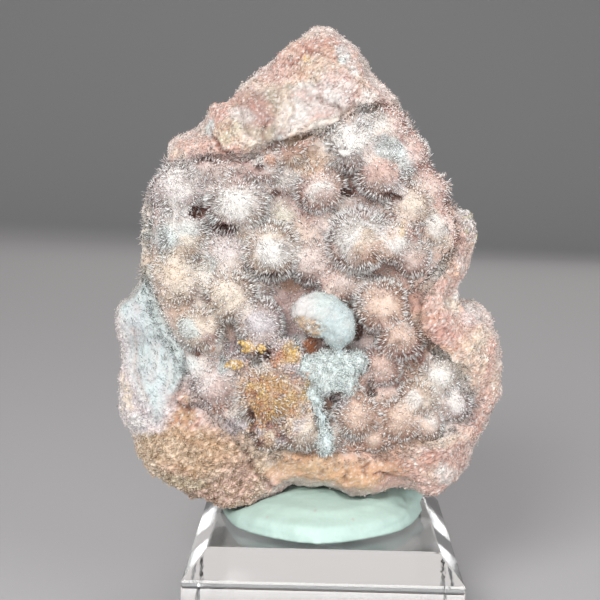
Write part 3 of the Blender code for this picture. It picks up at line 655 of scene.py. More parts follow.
def soft_step(value, low, high):
    """0 below low, 1 above high and smooth between."""
    share = np.clip((value - low) / (high - low), 0.0, 1.0)
    return share * share * (3.0 - 2.0 * share)


def paint(colours, name, weight):
    """Lay a palette colour over an array of colours."""
    colours += (COLOUR[name] - colours) * np.clip(weight, 0.0, 1.0)[:, None]


def face_share(x, z):
    """How far each place lies in the furry white face, from 0 outside to 1."""
    border = near_line(x, z, WHITE_FACE + WHITE_FACE[:1])
    return soft_step(np.where(within(x, z, WHITE_FACE), border, -border), -1.8, 1.2)


# Parts of the rock's face: (x, z, half width, half height)
LOBE = (-24.0, 11.5, 14.0, 9.5)
LEDGE = (2.0, 11.0, 15.5, 6.0)
FOLDS = (-7.0, 77.5, 13.0, 7.0)


def rock_regions(points):
    """Warped places on the rock, and how much of each kind of surface it has there."""
    x = points[:, 0] + 0.8 * cloud(points, 3.5, 11) + 0.5 * cloud(points, 1.3, 12)
    z = points[:, 2] + 0.8 * cloud(points, 3.5, 13) + 0.5 * cloud(points, 1.3, 14)
    front = soft_step(-points[:, 1], -1.0, 5.0)
    face = face_share(x, z) * front
    lobe = soft_step(1.0 - oval(x, z, LOBE), 0.0, 0.25) * (1.0 - face)
    ledge = soft_step(1.0 - oval(x, z, LEDGE), 0.0, 0.3) * front * (1.0 - lobe)
    folds = soft_step(1.0 - oval(x, z, FOLDS), 0.0, 0.5) * front
    return x, z, front, face, lobe, ledge, folds


def lobe_grain(points):
    """Places stretched so that cells in them are long grains that lean down to the left."""
    along = (points[:, 0] * 0.8 + points[:, 2] * 0.6) / 1.7
    across = points[:, 2] * 0.8 - points[:, 0] * 0.6
    return np.stack([along, points[:, 1], across], axis=1)


def rock_mesh(crust_tree):
    """The rock's fine surface and colour."""
    mesh = even_skin(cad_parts["matrix"].data, *ROCK_SKIN)
    shape = bmesh.new()
    shape.from_mesh(mesh)
    fine = []
    for face in shape.faces:
        middle = face.calc_center_median()
        facing = face.normal.y < 0.25 and middle.y < 0.0
        if facing and crust_tree.find_nearest(middle)[3] > 0.6 * MM:
            fine.append(face)
    edges = list({edge for face in fine for edge in face.edges})
    bmesh.ops.subdivide_edges(shape, edges=edges, cuts=1, use_grid_fill=True)
    shape.to_mesh(mesh)
    shape.free()
    mesh.update()

    points, normals = surface(mesh)
    x, z, front, face, lobe, ledge, folds = rock_regions(points)
    sugar = np.clip(1.0 - face - lobe - 0.75 * ledge - 0.6 * folds, 0.0, 1.0)
    tips = rng.normal(size=len(points))

    height = 0.5 * cloud(points, 5.0, 1) + 0.35 * cloud(points, 2.4, 2) + 0.22 * cloud(points, 1.2, 3)
    height *= 1.0 - 0.75 * face
    back = soft_step(points[:, 1], 3.0, 9.0)
    height += back * (1.0 * cloud(points, 8.0, 7) + 0.6 * cloud(points, 3.6, 8))
    small, small_number = pebbles(points, 0.9, 20)
    coarse, _ = pebbles(points, 1.9, 30)
    grain, grain_number = pebbles(lobe_grain(points), 0.75, 33)
    fine_height = sugar * (0.22 * small + 0.25 * coarse + 0.09 * tips) + lobe * (0.7 * grain + 0.04 * tips)
    fine_height += ledge * (0.3 * coarse + 0.03 * tips) + folds * (0.3 * coarse + 0.12 * small + 0.04 * tips)
    fine_height += face * (0.05 * small + 0.03 * tips)
    streaks = cloud(points * (2.4, 1.0, 0.35), 1.2, 6)
    fine_height += face * 0.16 * streaks

    colours = np.tile(COLOUR["pink"], (len(points), 1))
    paint(colours, "salmon", 0.35 + 0.45 * cloud(points, 5.0, 40))
    paint(colours, "cream", 0.7 * np.clip(cloud(points, 4.0, 42) + 0.1, 0, 1))
    paint(colours, "grey", 0.7 * folds * soft_step(cloud(points, 3.0, 47), -0.3, 0.4))
    paint(colours, "green", 0.6 * folds * soft_step(cloud(points, 2.2, 48), 0.0, 0.5))
    # Painted shade: the folds and the top of the rock are painted darker, against the stronger light from
    # above
    colours *= (1.0 - 0.33 * folds - 0.1 * soft_step(z, 70.0, 82.0))[:, None]
    left = soft_step(-x, 28.0, 32.0) * soft_step(10.0 - points[:, 1], 0.0, 12.0)
    paint(colours, "cream", 0.9 * left * soft_step(74.0 - z, 0.0, 6.0))
    paint(colours, "cream", 0.6 * back * soft_step(cloud(points, 7.0, 49), 0.0, 0.5))
    paint(colours, "grey", 0.5 * back * soft_step(-cloud(points, 9.0, 55), 0.0, 0.5))
    # Painted light: the back, turned away from the lamps, is painted a fifth lighter
    colours *= (1.0 + 0.2 * back)[:, None]
    margin = soft_step(-x, 27.5, 31.0) * soft_step(47.0 - z, 0.0, 6.0) * soft_step(z, 15.0, 19.0)
    margin *= soft_step(10.0 - points[:, 1], 0.0, 12.0)
    paint(colours, "lilac", margin)
    for name, *spot, strength in PATCHES:
        strength *= 0.55 if name == "rose" else 0.9
        paint(colours, name, strength * front * soft_step(1.7 - oval(x, z, spot), 0.0, 1.3))
    paint(colours, "grey", 0.8 * soft_step(1.2 - oval(x, z, EDGE_CLUSTER), 0.0, 0.4))
    paint(colours, "blue", 0.9 * face)
    paint(colours, "violet", 0.35 * face * soft_step(cloud(points, 3.0, 46), 0.0, 0.5))
    paint(colours, "grey", 0.3 * face * soft_step(cloud(points * (1.6, 1.0, 0.6), 1.6, 44), 0.1, 0.6))
    paint(colours, "mauve", 0.2 * face * soft_step(cloud(points * (1.6, 1.0, 0.5), 1.1, 45), 0.3, 0.7))
    for name, line, wide, rise, strength in STROKES:
        mark = np.exp(-(near_line(x, z, line) / wide) ** 2) * front
        height += rise * mark
        paint(colours, name, strength * mark)
    # Painted highlight: faces turned sideways near the front are painted white, as light on the rock's rims
    sides = soft_step(normals[:, 1], -0.75, -0.3) * soft_step(12.0 - points[:, 1], 0.0, 12.0)
    paint(colours, "white", 0.55 * sides * (1.0 - 0.6 * lobe))

    # Painted light and shade: the rock is painted lighter on its bumps and darker in its pits, with clay laid
    # in the pits as painted shade
    cavity_shading = np.clip((fine_height - fine_height.mean()) * 1.5, -0.5, 0.5)
    paint(colours, "rose", 0.25 * sugar * (small_number < 0.3) * soft_step(x, -31.0, -27.0))
    paint(colours, "clay", sugar * 0.4 * (1.0 - margin) * soft_step(-cavity_shading - 0.1 * tips, 0.12, 0.5))
    paint(colours, "violet", sugar * 0.6 * margin * (small_number < 0.5))
    # The lobe is painted olive between its grains, partly their own dark joints and partly painted shade
    # there
    paint(colours, "olive", lobe * 0.8 * soft_step(0.42 - grain, 0.0, 0.3))
    paint(colours, "cream", lobe * 0.6 * soft_step(grain, 0.45, 0.75) * (grain_number > 0.4))
    speckle = rng.random(len(points))
    paint(colours, "white", sugar * 0.75 * (speckle > 0.87) + (folds + ledge) * 0.25 * (speckle > 0.85))
    paint(colours, "clay", sugar * 0.3 * (1.0 - margin) * (speckle < 0.12))
    speckled = (0.06 + 0.1 * sugar + 0.06 * lobe) * rng.normal(size=len(points))
    colours *= (1.0 - 0.03 * face + 0.15 * ledge + 0.5 * cavity_shading * (1.0 - face) + speckled)[:, None]
    paint(colours, "white", 0.3 * face * np.clip(streaks, 0, 1))
    seen = np.flatnonzero((points[:, 1] < 2.0) & (normals[:, 1] < 0.6))
    edge = np.zeros(len(points))
    edge[seen] = soft_step(2.6 - np.abs(clearance(crust_tree, points[seen])), 0.0, 2.2) * (1.0 - ledge[seen])
    colours += (crust_colour(points) * 0.95 - colours) * (0.75 * edge)[:, None]
    flat_front = soft_step(-normals[:, 1], 0.35, 0.8)
    height += edge * soft_step(points[:, 2], *UPPER_EDGE) * (0.8 - 1.9 * flat_front)
    slim = np.full(len(points), SLIM_ALL)
    for px, pz, spread, inward in SLIMMER:
        slim += inward * np.exp(-((points[:, 0] - px) ** 2 + (points[:, 2] - pz) ** 2) / spread ** 2)
    height -= slim * soft_step(0.85 - np.abs(normals[:, 1]), 0.0, 0.5)
    move_to(mesh, points + normals * (height + fine_height - 0.3)[:, None])
    tint(mesh, colours * 0.96)
    smooth = (face + ledge + folds + back) > 0.5
    mesh.polygons.foreach_set("use_smooth", [bool(smooth[face.vertices[0]]) for face in mesh.polygons])
    return mesh


def long_grain():
    """A blunt long grain of 12 faces as corner and face arrays."""
    ring = [(0.55 * math.cos(turn), 0.55 * math.sin(turn)) for turn in np.radians([0, 90, 180, 270])]
    corners = np.array([(0, 0, 1.3), *((a, b, 0.45) for a, b in ring), (0, 0, -1.0)], float)
    faces = [(0, 1 + k, 1 + (k + 1) % 4) for k in range(4)] + [(5, 1 + (k + 1) % 4, 1 + k) for k in range(4)]
    return corners, np.array(faces)


def rock_extras(mesh, crust_tree):
    """Meshes of long grains on the lobe, sugar on the rock, and needles at the edge and on the white face."""
    points, normals = surface(mesh)
    colours = rows_of(mesh.color_attributes["tint"].data, "color", 4)[:, :3]
    face, lobe, ledge, folds = rock_regions(points)[3:]
    chosen = np.flatnonzero((points[:, 1] < 9.0) & (normals[:, 1] < 0.6))
    chosen = chosen[rng.random(len(chosen)) < 0.6 * soft_step(9.0 - points[chosen, 1], 0.0, 9.0)]
    gap = np.full(len(points), -1.0)
    gap[chosen] = clearance(crust_tree, points[chosen])

    def pick(weight, count):
        found = draw(weight * (gap > 0.5), count)
        nudge = np.clip(rng.normal(scale=0.15, size=(count, 3)), -0.3, 0.3)
        return found, points[found] + normals[found] * 0.06 + nudge

    tan, places = pick(lobe, LOBE_GRAINS)
    size = rng.uniform(0.2, 0.42, len(tan))
    light = rng.random((len(tan), 1))
    tan_colour = colours[tan] * 0.5 + 0.5 * (COLOUR["cream"] * light + COLOUR["tan"] * (1 - light))
    tan_colour *= rng.uniform(0.75, 1.15, (len(tan), 1))
    grains = grain_mesh("rock_grains", long_grain(), places, size, tan_colour)

    sugar_weight = np.clip(1.0 - 0.93 * face - lobe - 0.75 * ledge - 0.5 * folds, 0.03, 1.0)
    sugar, places = pick(sugar_weight, SUGAR_CRYSTALS)
    size = rng.uniform(0.07, 0.17, len(sugar))
    light = 0.7 * rng.random((len(sugar), 1)) ** 1.3
    sugar_colour = colours[sugar] * (1 - light) + COLOUR["white"] * light
    crystals = grain_mesh("rock_sugar", lozenge(), places, size, sugar_colour)

    share = soft_step(2.6 - gap, 0.0, 2.4) * (gap > 0.05) * (1.0 - 0.7 * ledge)
    edge = draw(share, EDGE_NEEDLES)
    start = points[edge] + rng.normal(scale=0.12, size=(len(edge), 3))
    way = unit(normals[edge] + 0.8 * three_clouds(start, 1.5, 86) + rng.normal(scale=0.35, size=start.shape))
    ends = start + way * rng.uniform(0.5, 1.7, (len(edge), 1))
    near = crust_colour(ends) * 0.6 + colours[edge] * 0.4
    fur = draw(face, FACE_NEEDLES)
    base = points[fur] + rng.normal(scale=0.12, size=(len(fur), 3))
    comb = FUR_LEAN + three_clouds(base, 2.2, 76)
    comb = unit(comb + 0.9 * normals[fur] + rng.normal(scale=0.3, size=base.shape))
    start = np.concatenate([start - way * 0.2, base])
    ends = np.concatenate([ends, base + comb * rng.uniform(0.4, 1.1, (len(fur), 1))])
    widths = rng.uniform(0.07, 0.14, len(start)) * np.where(np.arange(len(start)) < len(edge), 1.0, 0.7)
    near = np.concatenate([near, colours[fur] * rng.uniform(1.15, 1.4, (len(fur), 1))])
    fringe = needle_mesh("rock_needles", start, ends, widths, near * 0.9, near, near * 0.5 + 0.46)
    return grains, crystals, fringe


def crust_colour(points):
    """The crust's colour at each point: soft between the balls' colours, with patches over it."""
    places = points + 0.9 * three_clouds(points, 2.2, 110)
    total = np.zeros(len(points))
    colours = np.zeros((len(points), 3))
    for x, z, y, radius, name in BALLS:
        weight = np.exp(-((places - (x, y, z)) ** 2).sum(axis=1) / (0.85 * radius) ** 2) + 1e-9
        colours += weight[:, None] * COLOUR[name]
        total += weight
    colours /= total[:, None]
    right = soft_step(points[:, 0], -8.0, 4.0)
    paint(colours, "peach", (0.15 + 0.55 * right) * np.clip(cloud(points, 2.8, 113) + 0.3, 0, 1))
    paint(colours, "mauve", 0.3 * np.clip(cloud(points, 2.4, 114), 0, 1))
    for name, *spot, strength in CRUST_PATCHES:
        paint(colours, name, strength * soft_step(1.5 - oval_at(places, spot), 0.0, 0.9))
    paint(colours, "blue", 0.85 * face_share(places[:, 0], places[:, 2]))
    rim = rim_share(places)
    paint(colours, "pink", 0.8 * rim)
    paint(colours, "rose", 0.7 * rim * soft_step(cloud(places, 1.2, 117), -0.2, 0.5))
    zone = sugariness(points)
    golden = zone * gold_share(points)
    paint(colours, "gold", 0.6 * golden * soft_step(cloud(points, 1.7, 118), 0.0, 0.5))
    low_left = soft_step(26.0 - points[:, 2], 0.0, 4.0)
    rusty = zone * (0.35 + 0.4 * golden + 0.5 * low_left)
    paint(colours, "clay", rusty * soft_step(cloud(points, 1.3, 119), 0.0, 0.5))
    paint(colours, "orange", 0.6 * zone * soft_step(cloud(points, 2.0, 122), 0.3, 0.6))
    paint(colours, "violet", 0.7 * zone * (1.0 - golden) * soft_step(cloud(points, 1.8, 120), 0.0, 0.5))
    return colours


def gold_share(points):
    """How far each point lies in the golden middle of the grainy zone."""
    spread = oval_at(points, GOLDEN_ZONE)
    return soft_step(1.3 - spread + 0.5 * cloud(points, 1.6, 121), 0.0, 0.7)


def sugariness(points):
    """How far the crust at each point is grainy and ochre instead of covered in needles."""
    spread = oval_at(points, SUGARY_ZONE)
    return soft_step(1.25 - spread + 0.35 * cloud(points, 2.0, 115), 0.0, 0.4)


def cotton_share(points):
    """How far each point lies in a cottony place, from 0 to 1."""
    share = np.zeros(len(points))
    for spot in COTTON:
        spread = oval_at(points, spot)
        share = np.maximum(share, soft_step(1.2 - spread + 0.3 * cloud(points, 1.8, 116), 0.0, 0.5))
    return share


def rim_share(points):
    """How far each point lies in the pink rim on the hollow's upper right."""
    return soft_step(2.4 - near_line(points[:, 0], points[:, 2], RIM), 0.0, 1.4)


def all_lumps():
    """The pale lumps with small lobes over the lower mass."""
    own = np.random.default_rng(LOBE_SEED)
    x, z, y, wide, high, deep, name = PALE_LUMPS[LOBED]
    lobes = []
    turns = own.uniform(0, math.tau, LOBES)
    for turn, far, size in zip(turns, np.sqrt(own.random(LOBES)), own.uniform(0.7, 1.5, LOBES)):
        ahead = y - deep * math.sqrt(1.0 - 0.85 * far * far) + 0.4 * size
        place = (x + wide * far * math.cos(turn), z + high * far * math.sin(turn), ahead)
        lobes.append((*place, size, size, size, name))
    return PALE_LUMPS + lobes


def lump_apart(points):
    """How far each point is from the nearest pale lump's middle, in radii of that lump."""
    best = np.full(len(points), 9.0)
    for x, z, y, wide, high, deep, _ in PALE_LUMPS:
        best = np.minimum(best, np.linalg.norm((points - (x, y, z)) / (wide, deep, high), axis=1))
    return best


def hole_share(points):
    """How far each point lies in one of the dark gaps between the balls, which are partly the crust's own
    rust and brown and partly painted shade.
    """
    share = np.zeros(len(points))
    for name, *spot, _ in CRUST_PATCHES:
        if name in ("rust", "brown", "dark"):
            share = np.maximum(share, soft_step(1.3 - oval_at(points, spot), 0.0, 0.8))
    return share


def bare_share(points):
    """How likely a needle at each point is left out."""
    bare = 0.4 * sugariness(points)
    bare = np.maximum(bare, 0.6 * cotton_share(points))
    bare = np.maximum(bare, 0.85 * rim_share(points))
    bare = np.maximum(bare, 0.6 * face_share(points[:, 0], points[:, 2]))
    bare = np.maximum(bare, 0.8 * hole_share(points))
    return np.maximum(bare, lump_apart(points) < 1.05)


def painted_front_light(points):
    """How near each point is to the front of a ball, from 0 to 1: the share painted milky and light there, as
    a painted highlight.
    """
    glow = np.zeros(len(points))
    for x, z, y, radius, _ in BALLS:
        off = (points - (x, y, z)) / radius
        apart = np.linalg.norm(off, axis=1)
        ahead = -off[:, 1] * 0.95 + off[:, 2] * 0.12
        near = soft_step(ahead / np.maximum(apart, 0.05), 0.1, 0.95) * soft_step(1.3 - apart, 0.0, 0.2)
        glow = np.maximum(glow, near * soft_step(apart, 0.4, 0.6))
    return glow


def core_mesh(rock_tree):
    """The crust under the needles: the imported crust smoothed, with a round core for each ball.

    High in the hollow its edge is raised a little, to meet the rock.
    """
    whole = bmesh.new()
    filled = even_skin(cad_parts["crystal_nest"].data, *FILLED_SKIN)
    points, normals = surface(filled)
    edge = soft_step(2.2 - clearance(rock_tree, points), 0.0, 1.4) * soft_step(points[:, 2], *UPPER_EDGE)
    move_to(filled, points + (0.15 + 0.8 * edge)[:, None] * normals)
    whole.from_mesh(filled)
    for x, z, y, radius, _ in BALLS:
        where = Matrix.Translation(Vector((x, y, z + BLOCK_TOP)) * MM)
        bmesh.ops.create_icosphere(whole, subdivisions=3, radius=radius * CORE_SHARE * MM, matrix=where)
    mesh = joined_skin(whole, *CORE_SKIN)
    points, normals = surface(mesh)
    rough = 0.3 * cloud(points, 1.6, 50) + 0.22 * cloud(points, 0.8, 51) - 0.25
    colours = crust_colour(points)
    # Painted light and shade: the fronts of the balls are painted milky and light, and the rest of the crust
    # darker towards the gap colour
    glow = painted_front_light(points)[:, None]
    shade = 0.5 * (1.0 - glow) * (1.0 - 0.8 * sugariness(points)[:, None])
    colours = colours * (1.0 - shade) + COLOUR["gap"] * shade
    colours += (PAINTED_LIGHT_TONE - colours) * 0.3 * glow
    # Painted shade: the crust is painted brown where its surface sinks
    paint(colours, "brown", 0.4 * soft_step(-rough, 0.3, 0.6))
    rough -= 1.2 * soft_step(1.25 - lump_apart(points), 0.0, 0.2)
    # The holes between the balls are sunk and painted brown: partly the crust's own brown, partly painted
    # shade
    hole = hole_share(points)
    rough -= 1.3 * hole
    paint(colours, "brown", 0.75 * hole)
    move_to(mesh, points + normals * rough[:, None])
    tint(mesh, colours)
    mesh.shade_smooth()
    return mesh


def even_directions(count):
    """Directions spread evenly over a sphere, nudged at random."""
    index = np.arange(count) + 0.5
    height = 1.0 - 2.0 * index / count
    turn = index * math.pi * (3.0 - math.sqrt(5.0))
    level = np.sqrt(1.0 - height ** 2)
    spread = np.stack([level * np.cos(turn), level * np.sin(turn), height], axis=1)
    return unit(spread + rng.normal(scale=0.9 / math.sqrt(count), size=spread.shape))


NEEDLES_PER_AREA = 9.5
MOST_NEEDLES = 48000


def needle_colours(tips, lit_share, crisp):
    """Root, middle and tip colours of needles. The second argument is how far each needle's place is painted
    as lit: roots are painted darker towards the gap colour as painted shade, less where lit, and middles and
    tips lighter where lit, as a painted highlight.
    """
    tone = crust_colour(tips)
    lively = rng.uniform(0.0, 1.0, (len(tips), 1))
    white = np.clip(0.3 * lively + 0.12 * lit_share + 0.9 * crisp, 0.0, 1.0)
    tip = tone + (TIP_WHITE - tone) * white
    middle = tone * (0.9 + 0.25 * lively) + (PAINTED_LIGHT_TONE - tone) * 0.15 * lit_share + (TIP_WHITE - tone) * 0.6 * crisp
    shade = 0.5 * (1.0 - 0.9 * lit_share)
    root = tone * (1.0 - shade) + COLOUR["gap"] * shade + (PAINTED_LIGHT_TONE - tone) * 0.2 * lit_share
    return root * FLUSH, middle * (1.0 + (FLUSH - 1.0) * (1.0 - crisp)), tip


def ball_needles(rock_tree):
    """Roots, tips, widths and colours of the needles of every ball."""
    sets = []
    for index, (centre, radius) in enumerate(zip(CENTRES, RADII)):
        way = even_directions(int(4.0 * math.pi * radius ** 2 * NEEDLES_PER_AREA))
        way = way[way[:, 1] < 0.3]
        spots = way * radius + centre
        fan = way - np.array([0.0, -1.0, 0.1]) * np.clip(-way[:, 1:2], 0.0, 1.0)
        crisp = rng.random((len(way), 1)) < 0.45
        lean = way + 0.4 * fan + 0.18 * three_clouds(spots, 1.3, 60)
        lean = unit(lean + rng.normal(size=way.shape) * np.where(crisp, 0.17, 0.07))
        uneven = 1.0 + 0.09 * cloud(spots, 2.6, 66) + 0.05 * cloud(spots, 1.2, 67)
        reach = 0.84 + 0.08 * rng.random(len(way)) + crisp[:, 0] * rng.uniform(0.04, 0.15, len(way))
        reach *= uneven
        start = 0.7 + 0.06 * rng.random(len(way))
        roots = centre + way * radius * start[:, None]
        along = (lean * way).sum(axis=1)
        chord = np.sqrt(np.maximum(reach ** 2 - start ** 2 * (1 - along ** 2), 0.01))
        length = radius * (chord - start * along)
        tips = roots + lean * length[:, None]
        apart = np.linalg.norm(tips[:, None] - CENTRES[None], axis=2) / RADII[None]
        apart[:, index] = 9.0
        keep = (apart > 0.8).all(axis=1) & (length > 0.25)
        # Painted light: needles that face the front and a little upward are painted as lit
        lit_share = soft_step(-way[:, 1] * 0.97 + way[:, 2] * 0.12, 0.0, 0.95)
        keep &= rng.random(len(way)) > bare_share(tips)
        keep &= rng.random(len(way)) > 0.75 * lit_share * crisp[:, 0]
        keep[keep] = clearance(rock_tree, tips[keep]) > 0.15
        roots, tips, lit_share, crisp = roots[keep], tips[keep], lit_share[keep][:, None], crisp[keep]
        widths = rng.uniform(0.06, 0.1, len(roots)) * np.where(crisp[:, 0], 1.9, 1.0)
        sets.append((roots, tips, widths, *needle_colours(tips, lit_share, crisp)))
    return [np.concatenate(column) for column in zip(*sets)]


def carpet_needles(core, rock_tree):
    """Short needles on the crust between the balls, in loose tufts."""
    points, normals = surface(core)
    chosen = np.flatnonzero(normals[:, 1] < 0.1)
    near = np.full(len(chosen), 9.0)
    for centre, radius in zip(CENTRES, RADII):
        near = np.minimum(near, np.linalg.norm(points[chosen] - centre, axis=1) / radius)
    chosen = chosen[near > 0.82]
    chosen = rng.choice(chosen, size=CARPET_NEEDLES)
    start = points[chosen] + rng.normal(scale=0.15, size=(len(chosen), 3))
    seats = rng.choice(chosen, size=CARPET_TUFTS)
    seats = points[seats] - normals[seats] * rng.uniform(0.3, 1.0, (len(seats), 1))
    apart = np.linalg.norm(start[:, None] - seats[None], axis=2)
    nearest = apart.argmin(axis=1)
    away = start - seats[nearest]
    far = apart[np.arange(len(start)), nearest][:, None]
    way = unit(away / far + 0.35 * normals[chosen] + rng.normal(scale=0.18, size=start.shape))
    length = np.clip(2.2 - 0.5 * far, 0.5, 1.6) * rng.uniform(0.7, 1.0, (len(chosen), 1))
    tips = start + way * length
    keep = rng.random(len(start)) > bare_share(tips)
    keep[keep] = clearance(rock_tree, tips[keep]) > 0.1
    start, tips = start[keep], tips[keep]
    # Painted shade: needles far from their tuft's middle get darker roots, as shade between the tufts
    lit_share = soft_step(1.9 - far[keep], 0.0, 1.4) * 0.7
    crisp = rng.random((len(start), 1)) < 0.4
    widths = rng.uniform(0.06, 0.1, len(start)) * np.where(crisp[:, 0], 1.8, 1.0)
    return start - (tips - start) * 0.25, tips, widths, *needle_colours(tips, lit_share, crisp)


def crust_grains(core):
    """Ochre, gold, rust and white grains of the sugary zone, and a few white crystals elsewhere."""
    points, normals = surface(core)
    front = normals[:, 1] < 0.2
    zone = sugariness(points) * front
    weight = zone + (0.05 + 0.35 * cotton_share(points) + 0.5 * rim_share(points)) * front
    weight *= lump_apart(points) > 1.1
    chosen = draw(weight, CRUST_GRAINS)
    places = points[chosen] + normals[chosen] * rng.uniform(-0.05, 0.35, (len(chosen), 1))
    places += rng.normal(scale=0.14, size=places.shape)
    zone = sugariness(places)
    names = ("gold", "ochre", "amber", "rust", "cream", "white", "tan")
    odds = np.array([0.2, 0.16, 0.1, 0.14, 0.14, 0.18, 0.08])
    picks = rng.choice(len(names), size=len(chosen), p=odds)
    mixed = np.array([COLOUR[name] for name in names])[picks]
    field = crust_colour(places)
    golden = zone * (0.15 + 0.4 * gold_share(places))
    share = np.where(rng.random(len(chosen)) < golden, 0.5, 0.05)[:, None]
    colours = field * (1 - share) + mixed * share
    bright = ((0.7 - 0.6 * zone) * rng.random(len(chosen)))[:, None]
    colours = colours * (1 - bright) + 0.9 * bright
    sizes = rng.uniform(0.1, 0.22, len(chosen)) * (1.0 + 0.9 * zone * rng.random(len(chosen)) ** 2)
    return grain_mesh("crust_grains", lozenge(), places, sizes, colours * 1.1)


def lump_mesh():
    """The smooth pale lumps, fused, with an ochre stain low on the left of the knob."""
    whole = bmesh.new()
    for x, z, y, wide, high, deep, _ in all_lumps():
        where = Matrix.Translation(Vector((x, y, z + BLOCK_TOP)) * MM)
        size = Matrix.Diagonal((wide * MM, deep * MM, high * MM, 1.0))
        bmesh.ops.create_icosphere(whole, subdivisions=3, radius=1.0, matrix=where @ size)
    mesh = joined_skin(whole, *LUMP_SKIN)
    points, normals = surface(mesh)
    colours = np.tile(COLOUR["aqua"], (len(points), 1))
    for x, z, y, wide, high, deep, name in PALE_LUMPS:
        apart = np.linalg.norm((points - (x, y, z)) / (wide, deep, high), axis=1)
        paint(colours, name, soft_step(1.35 - apart, 0.0, 0.3))
    lobes, _ = pebbles(points, 1.5, 97)
    crumbs, _ = pebbles(points, 0.7, 98)
    height = 0.35 * cloud(points, 2.6, 90) + 0.25 * lobes + 0.2 * crumbs + 0.14 * cloud(points, 0.9, 91) - 0.3
    height += 0.06 * rng.normal(size=len(points))
    colours *= 0.8
    paint(colours, "lilac", 0.6 * soft_step(-points[:, 0], 1.0, 4.5) * soft_step(points[:, 2], 36.0, 38.0))
    spread = oval_at(points, STAIN)
    stain = soft_step(1.1 - spread + 0.3 * cloud(points, 1.0, 93), 0.0, 0.4)
    grit, number = pebbles(points, 0.6, 94)
    height += stain * (0.45 * grit - 0.5)
    paint(colours, "olive", 0.75 * stain * (number < 0.5))
    paint(colours, "ochre", 0.7 * stain * (number > 0.7))
    # The stain is painted brown between its grit, partly its own colour and partly painted shade there
    paint(colours, "brown", 0.8 * stain * soft_step(0.35 - grit, 0.0, 0.2))
    paint(colours, "grey", 0.35 * np.clip(-cloud(points, 1.2, 96), 0, 1))
    # The dent is sunk and painted mauve, partly its own colour and partly painted shade in it
    hole = soft_step(1.1 - np.hypot(points[:, 0] - CRATER[0], points[:, 2] - CRATER[1]), 0.0, 0.9)
    height -= 1.1 * hole
    paint(colours, "mauve", 0.8 * hole)
    cottony = soft_step(36.0 - points[:, 2], 0.0, 1.5)
    height += cottony * (0.3 * cloud(points, 0.7, 99) + 0.1 * rng.normal(size=len(points)))
    colours *= (1.0 + 0.3 * cottony + 0.05 * rng.normal(size=len(points)))[:, None]
    move_to(mesh, points + normals * height[:, None])
    tint(mesh, colours)
    mesh.shade_smooth()
    return mesh


def lump_fur(mesh):
    """Short fine white needles on the pale lumps, thick on the lower mass and thin on the knob."""
    points, normals = surface(mesh)
    low = soft_step(36.5 - points[:, 2], 0.0, 1.5)
    weight = (0.25 + low) * (normals[:, 1] < 0.3)
    chosen = draw(weight, LUMP_NEEDLES)
    start = points[chosen] + rng.normal(scale=0.1, size=(len(chosen), 3))
    way = 0.7 * normals[chosen] + 0.8 * three_clouds(start, 1.4, 130)
    way = unit(way + rng.normal(scale=0.2, size=start.shape))
    reach = rng.uniform(0.4, 1.3, (len(chosen), 1)) * (0.3 + 0.7 * low[chosen][:, None])
    colours = COLOUR["aqua"] * rng.uniform(1.2, 1.7, (len(chosen), 1))
    widths = rng.uniform(0.07, 0.12, len(start))
    return needle_mesh("lump_fur", start, start + way * reach, widths, colours, colours, colours * 0.4 + 0.75)


def edge_crystals(mesh):
    """A cluster of blunt glassy grey crystals on the rock's right edge."""
    points, _ = surface(mesh)
    spread = oval_at(points, EDGE_CLUSTER)
    near = np.flatnonzero((spread < 1.0) & (points[:, 1] < 2.0))
    places = points[rng.choice(near, size=EDGE_GRAINS)]
    colours = mixed_colours(("white", "grey", "green", "grey"), EDGE_GRAINS)
    colours *= rng.uniform(0.75, 1.05, (EDGE_GRAINS, 1))
    sizes = rng.uniform(0.35, 0.9, EDGE_GRAINS)
    return grain_mesh("edge_crystals", long_grain(), places, sizes, colours, 0.35)


def crumb_mesh():
    """Clusters of ochre and gold grains that sit on the crust."""
    places = []
    for x, z, y, wide, high, deep in CRUMBS:
        spots = rng.normal(scale=0.42, size=(int(CRUMBS_PER_AREA * wide * high), 3)) * (wide, deep, high)
        places.append(spots + (x, y, z))
    places = np.concatenate(places)
    colours = mixed_colours(("gold", "gold", "gold", "ochre", "tan", "cream", "cream"), len(places))
    colours *= rng.uniform(0.8, 1.15, (len(places), 1))
    return grain_mesh("gold_crumbs", bead(), places, rng.uniform(0.22, 0.46, len(places)), colours, 0.3)


def putty_mesh():
    """The putty, soft, with faint dents, smears and a few dark specks."""
    mesh = even_skin(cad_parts["putty"].data, *PUTTY_SKIN)
    points, normals = surface(mesh)
    level = np.clip(points[:, 2] - 0.6, 0.0, 1.0)
    height = 0.16 * cloud(points, 4.0, 100) + 0.07 * cloud(points, 1.6, 101)
    height += 0.035 * cloud(points * (0.3, 1.0, 2.0), 1.0, 102)
    colours = np.tile(PUTTY_COLOUR, (len(points), 1))
    colours *= (1.0 + 0.07 * cloud(points * (0.4, 1.0, 1.6), 2.2, 103))[:, None]
    speck, number = pebbles(points, 1.7, 104)
    paint(colours, "mauve", 0.5 * (number > 0.8) * soft_step(speck, 0.82, 0.9))
    fold = soft_step(points[:, 0], 12.5, 15.0) * soft_step(points[:, 2], 3.0, 4.2)
    colours *= 1.0 - 0.12 * fold[:, None]
    height += 0.5 * fold * cloud(points * (1.0, 1.0, 0.6), 2.0, 105)
    crease = near_line(points[:, 0], points[:, 2], PUTTY_CREASE)
    height -= 0.18 * np.exp(-(crease / 0.35) ** 2)
    points[:, 0] *= PUTTY_WIDER
    move_to(mesh, points + normals * (height * level)[:, None])
    tint(mesh, colours)
    mesh.shade_smooth()
    return mesh


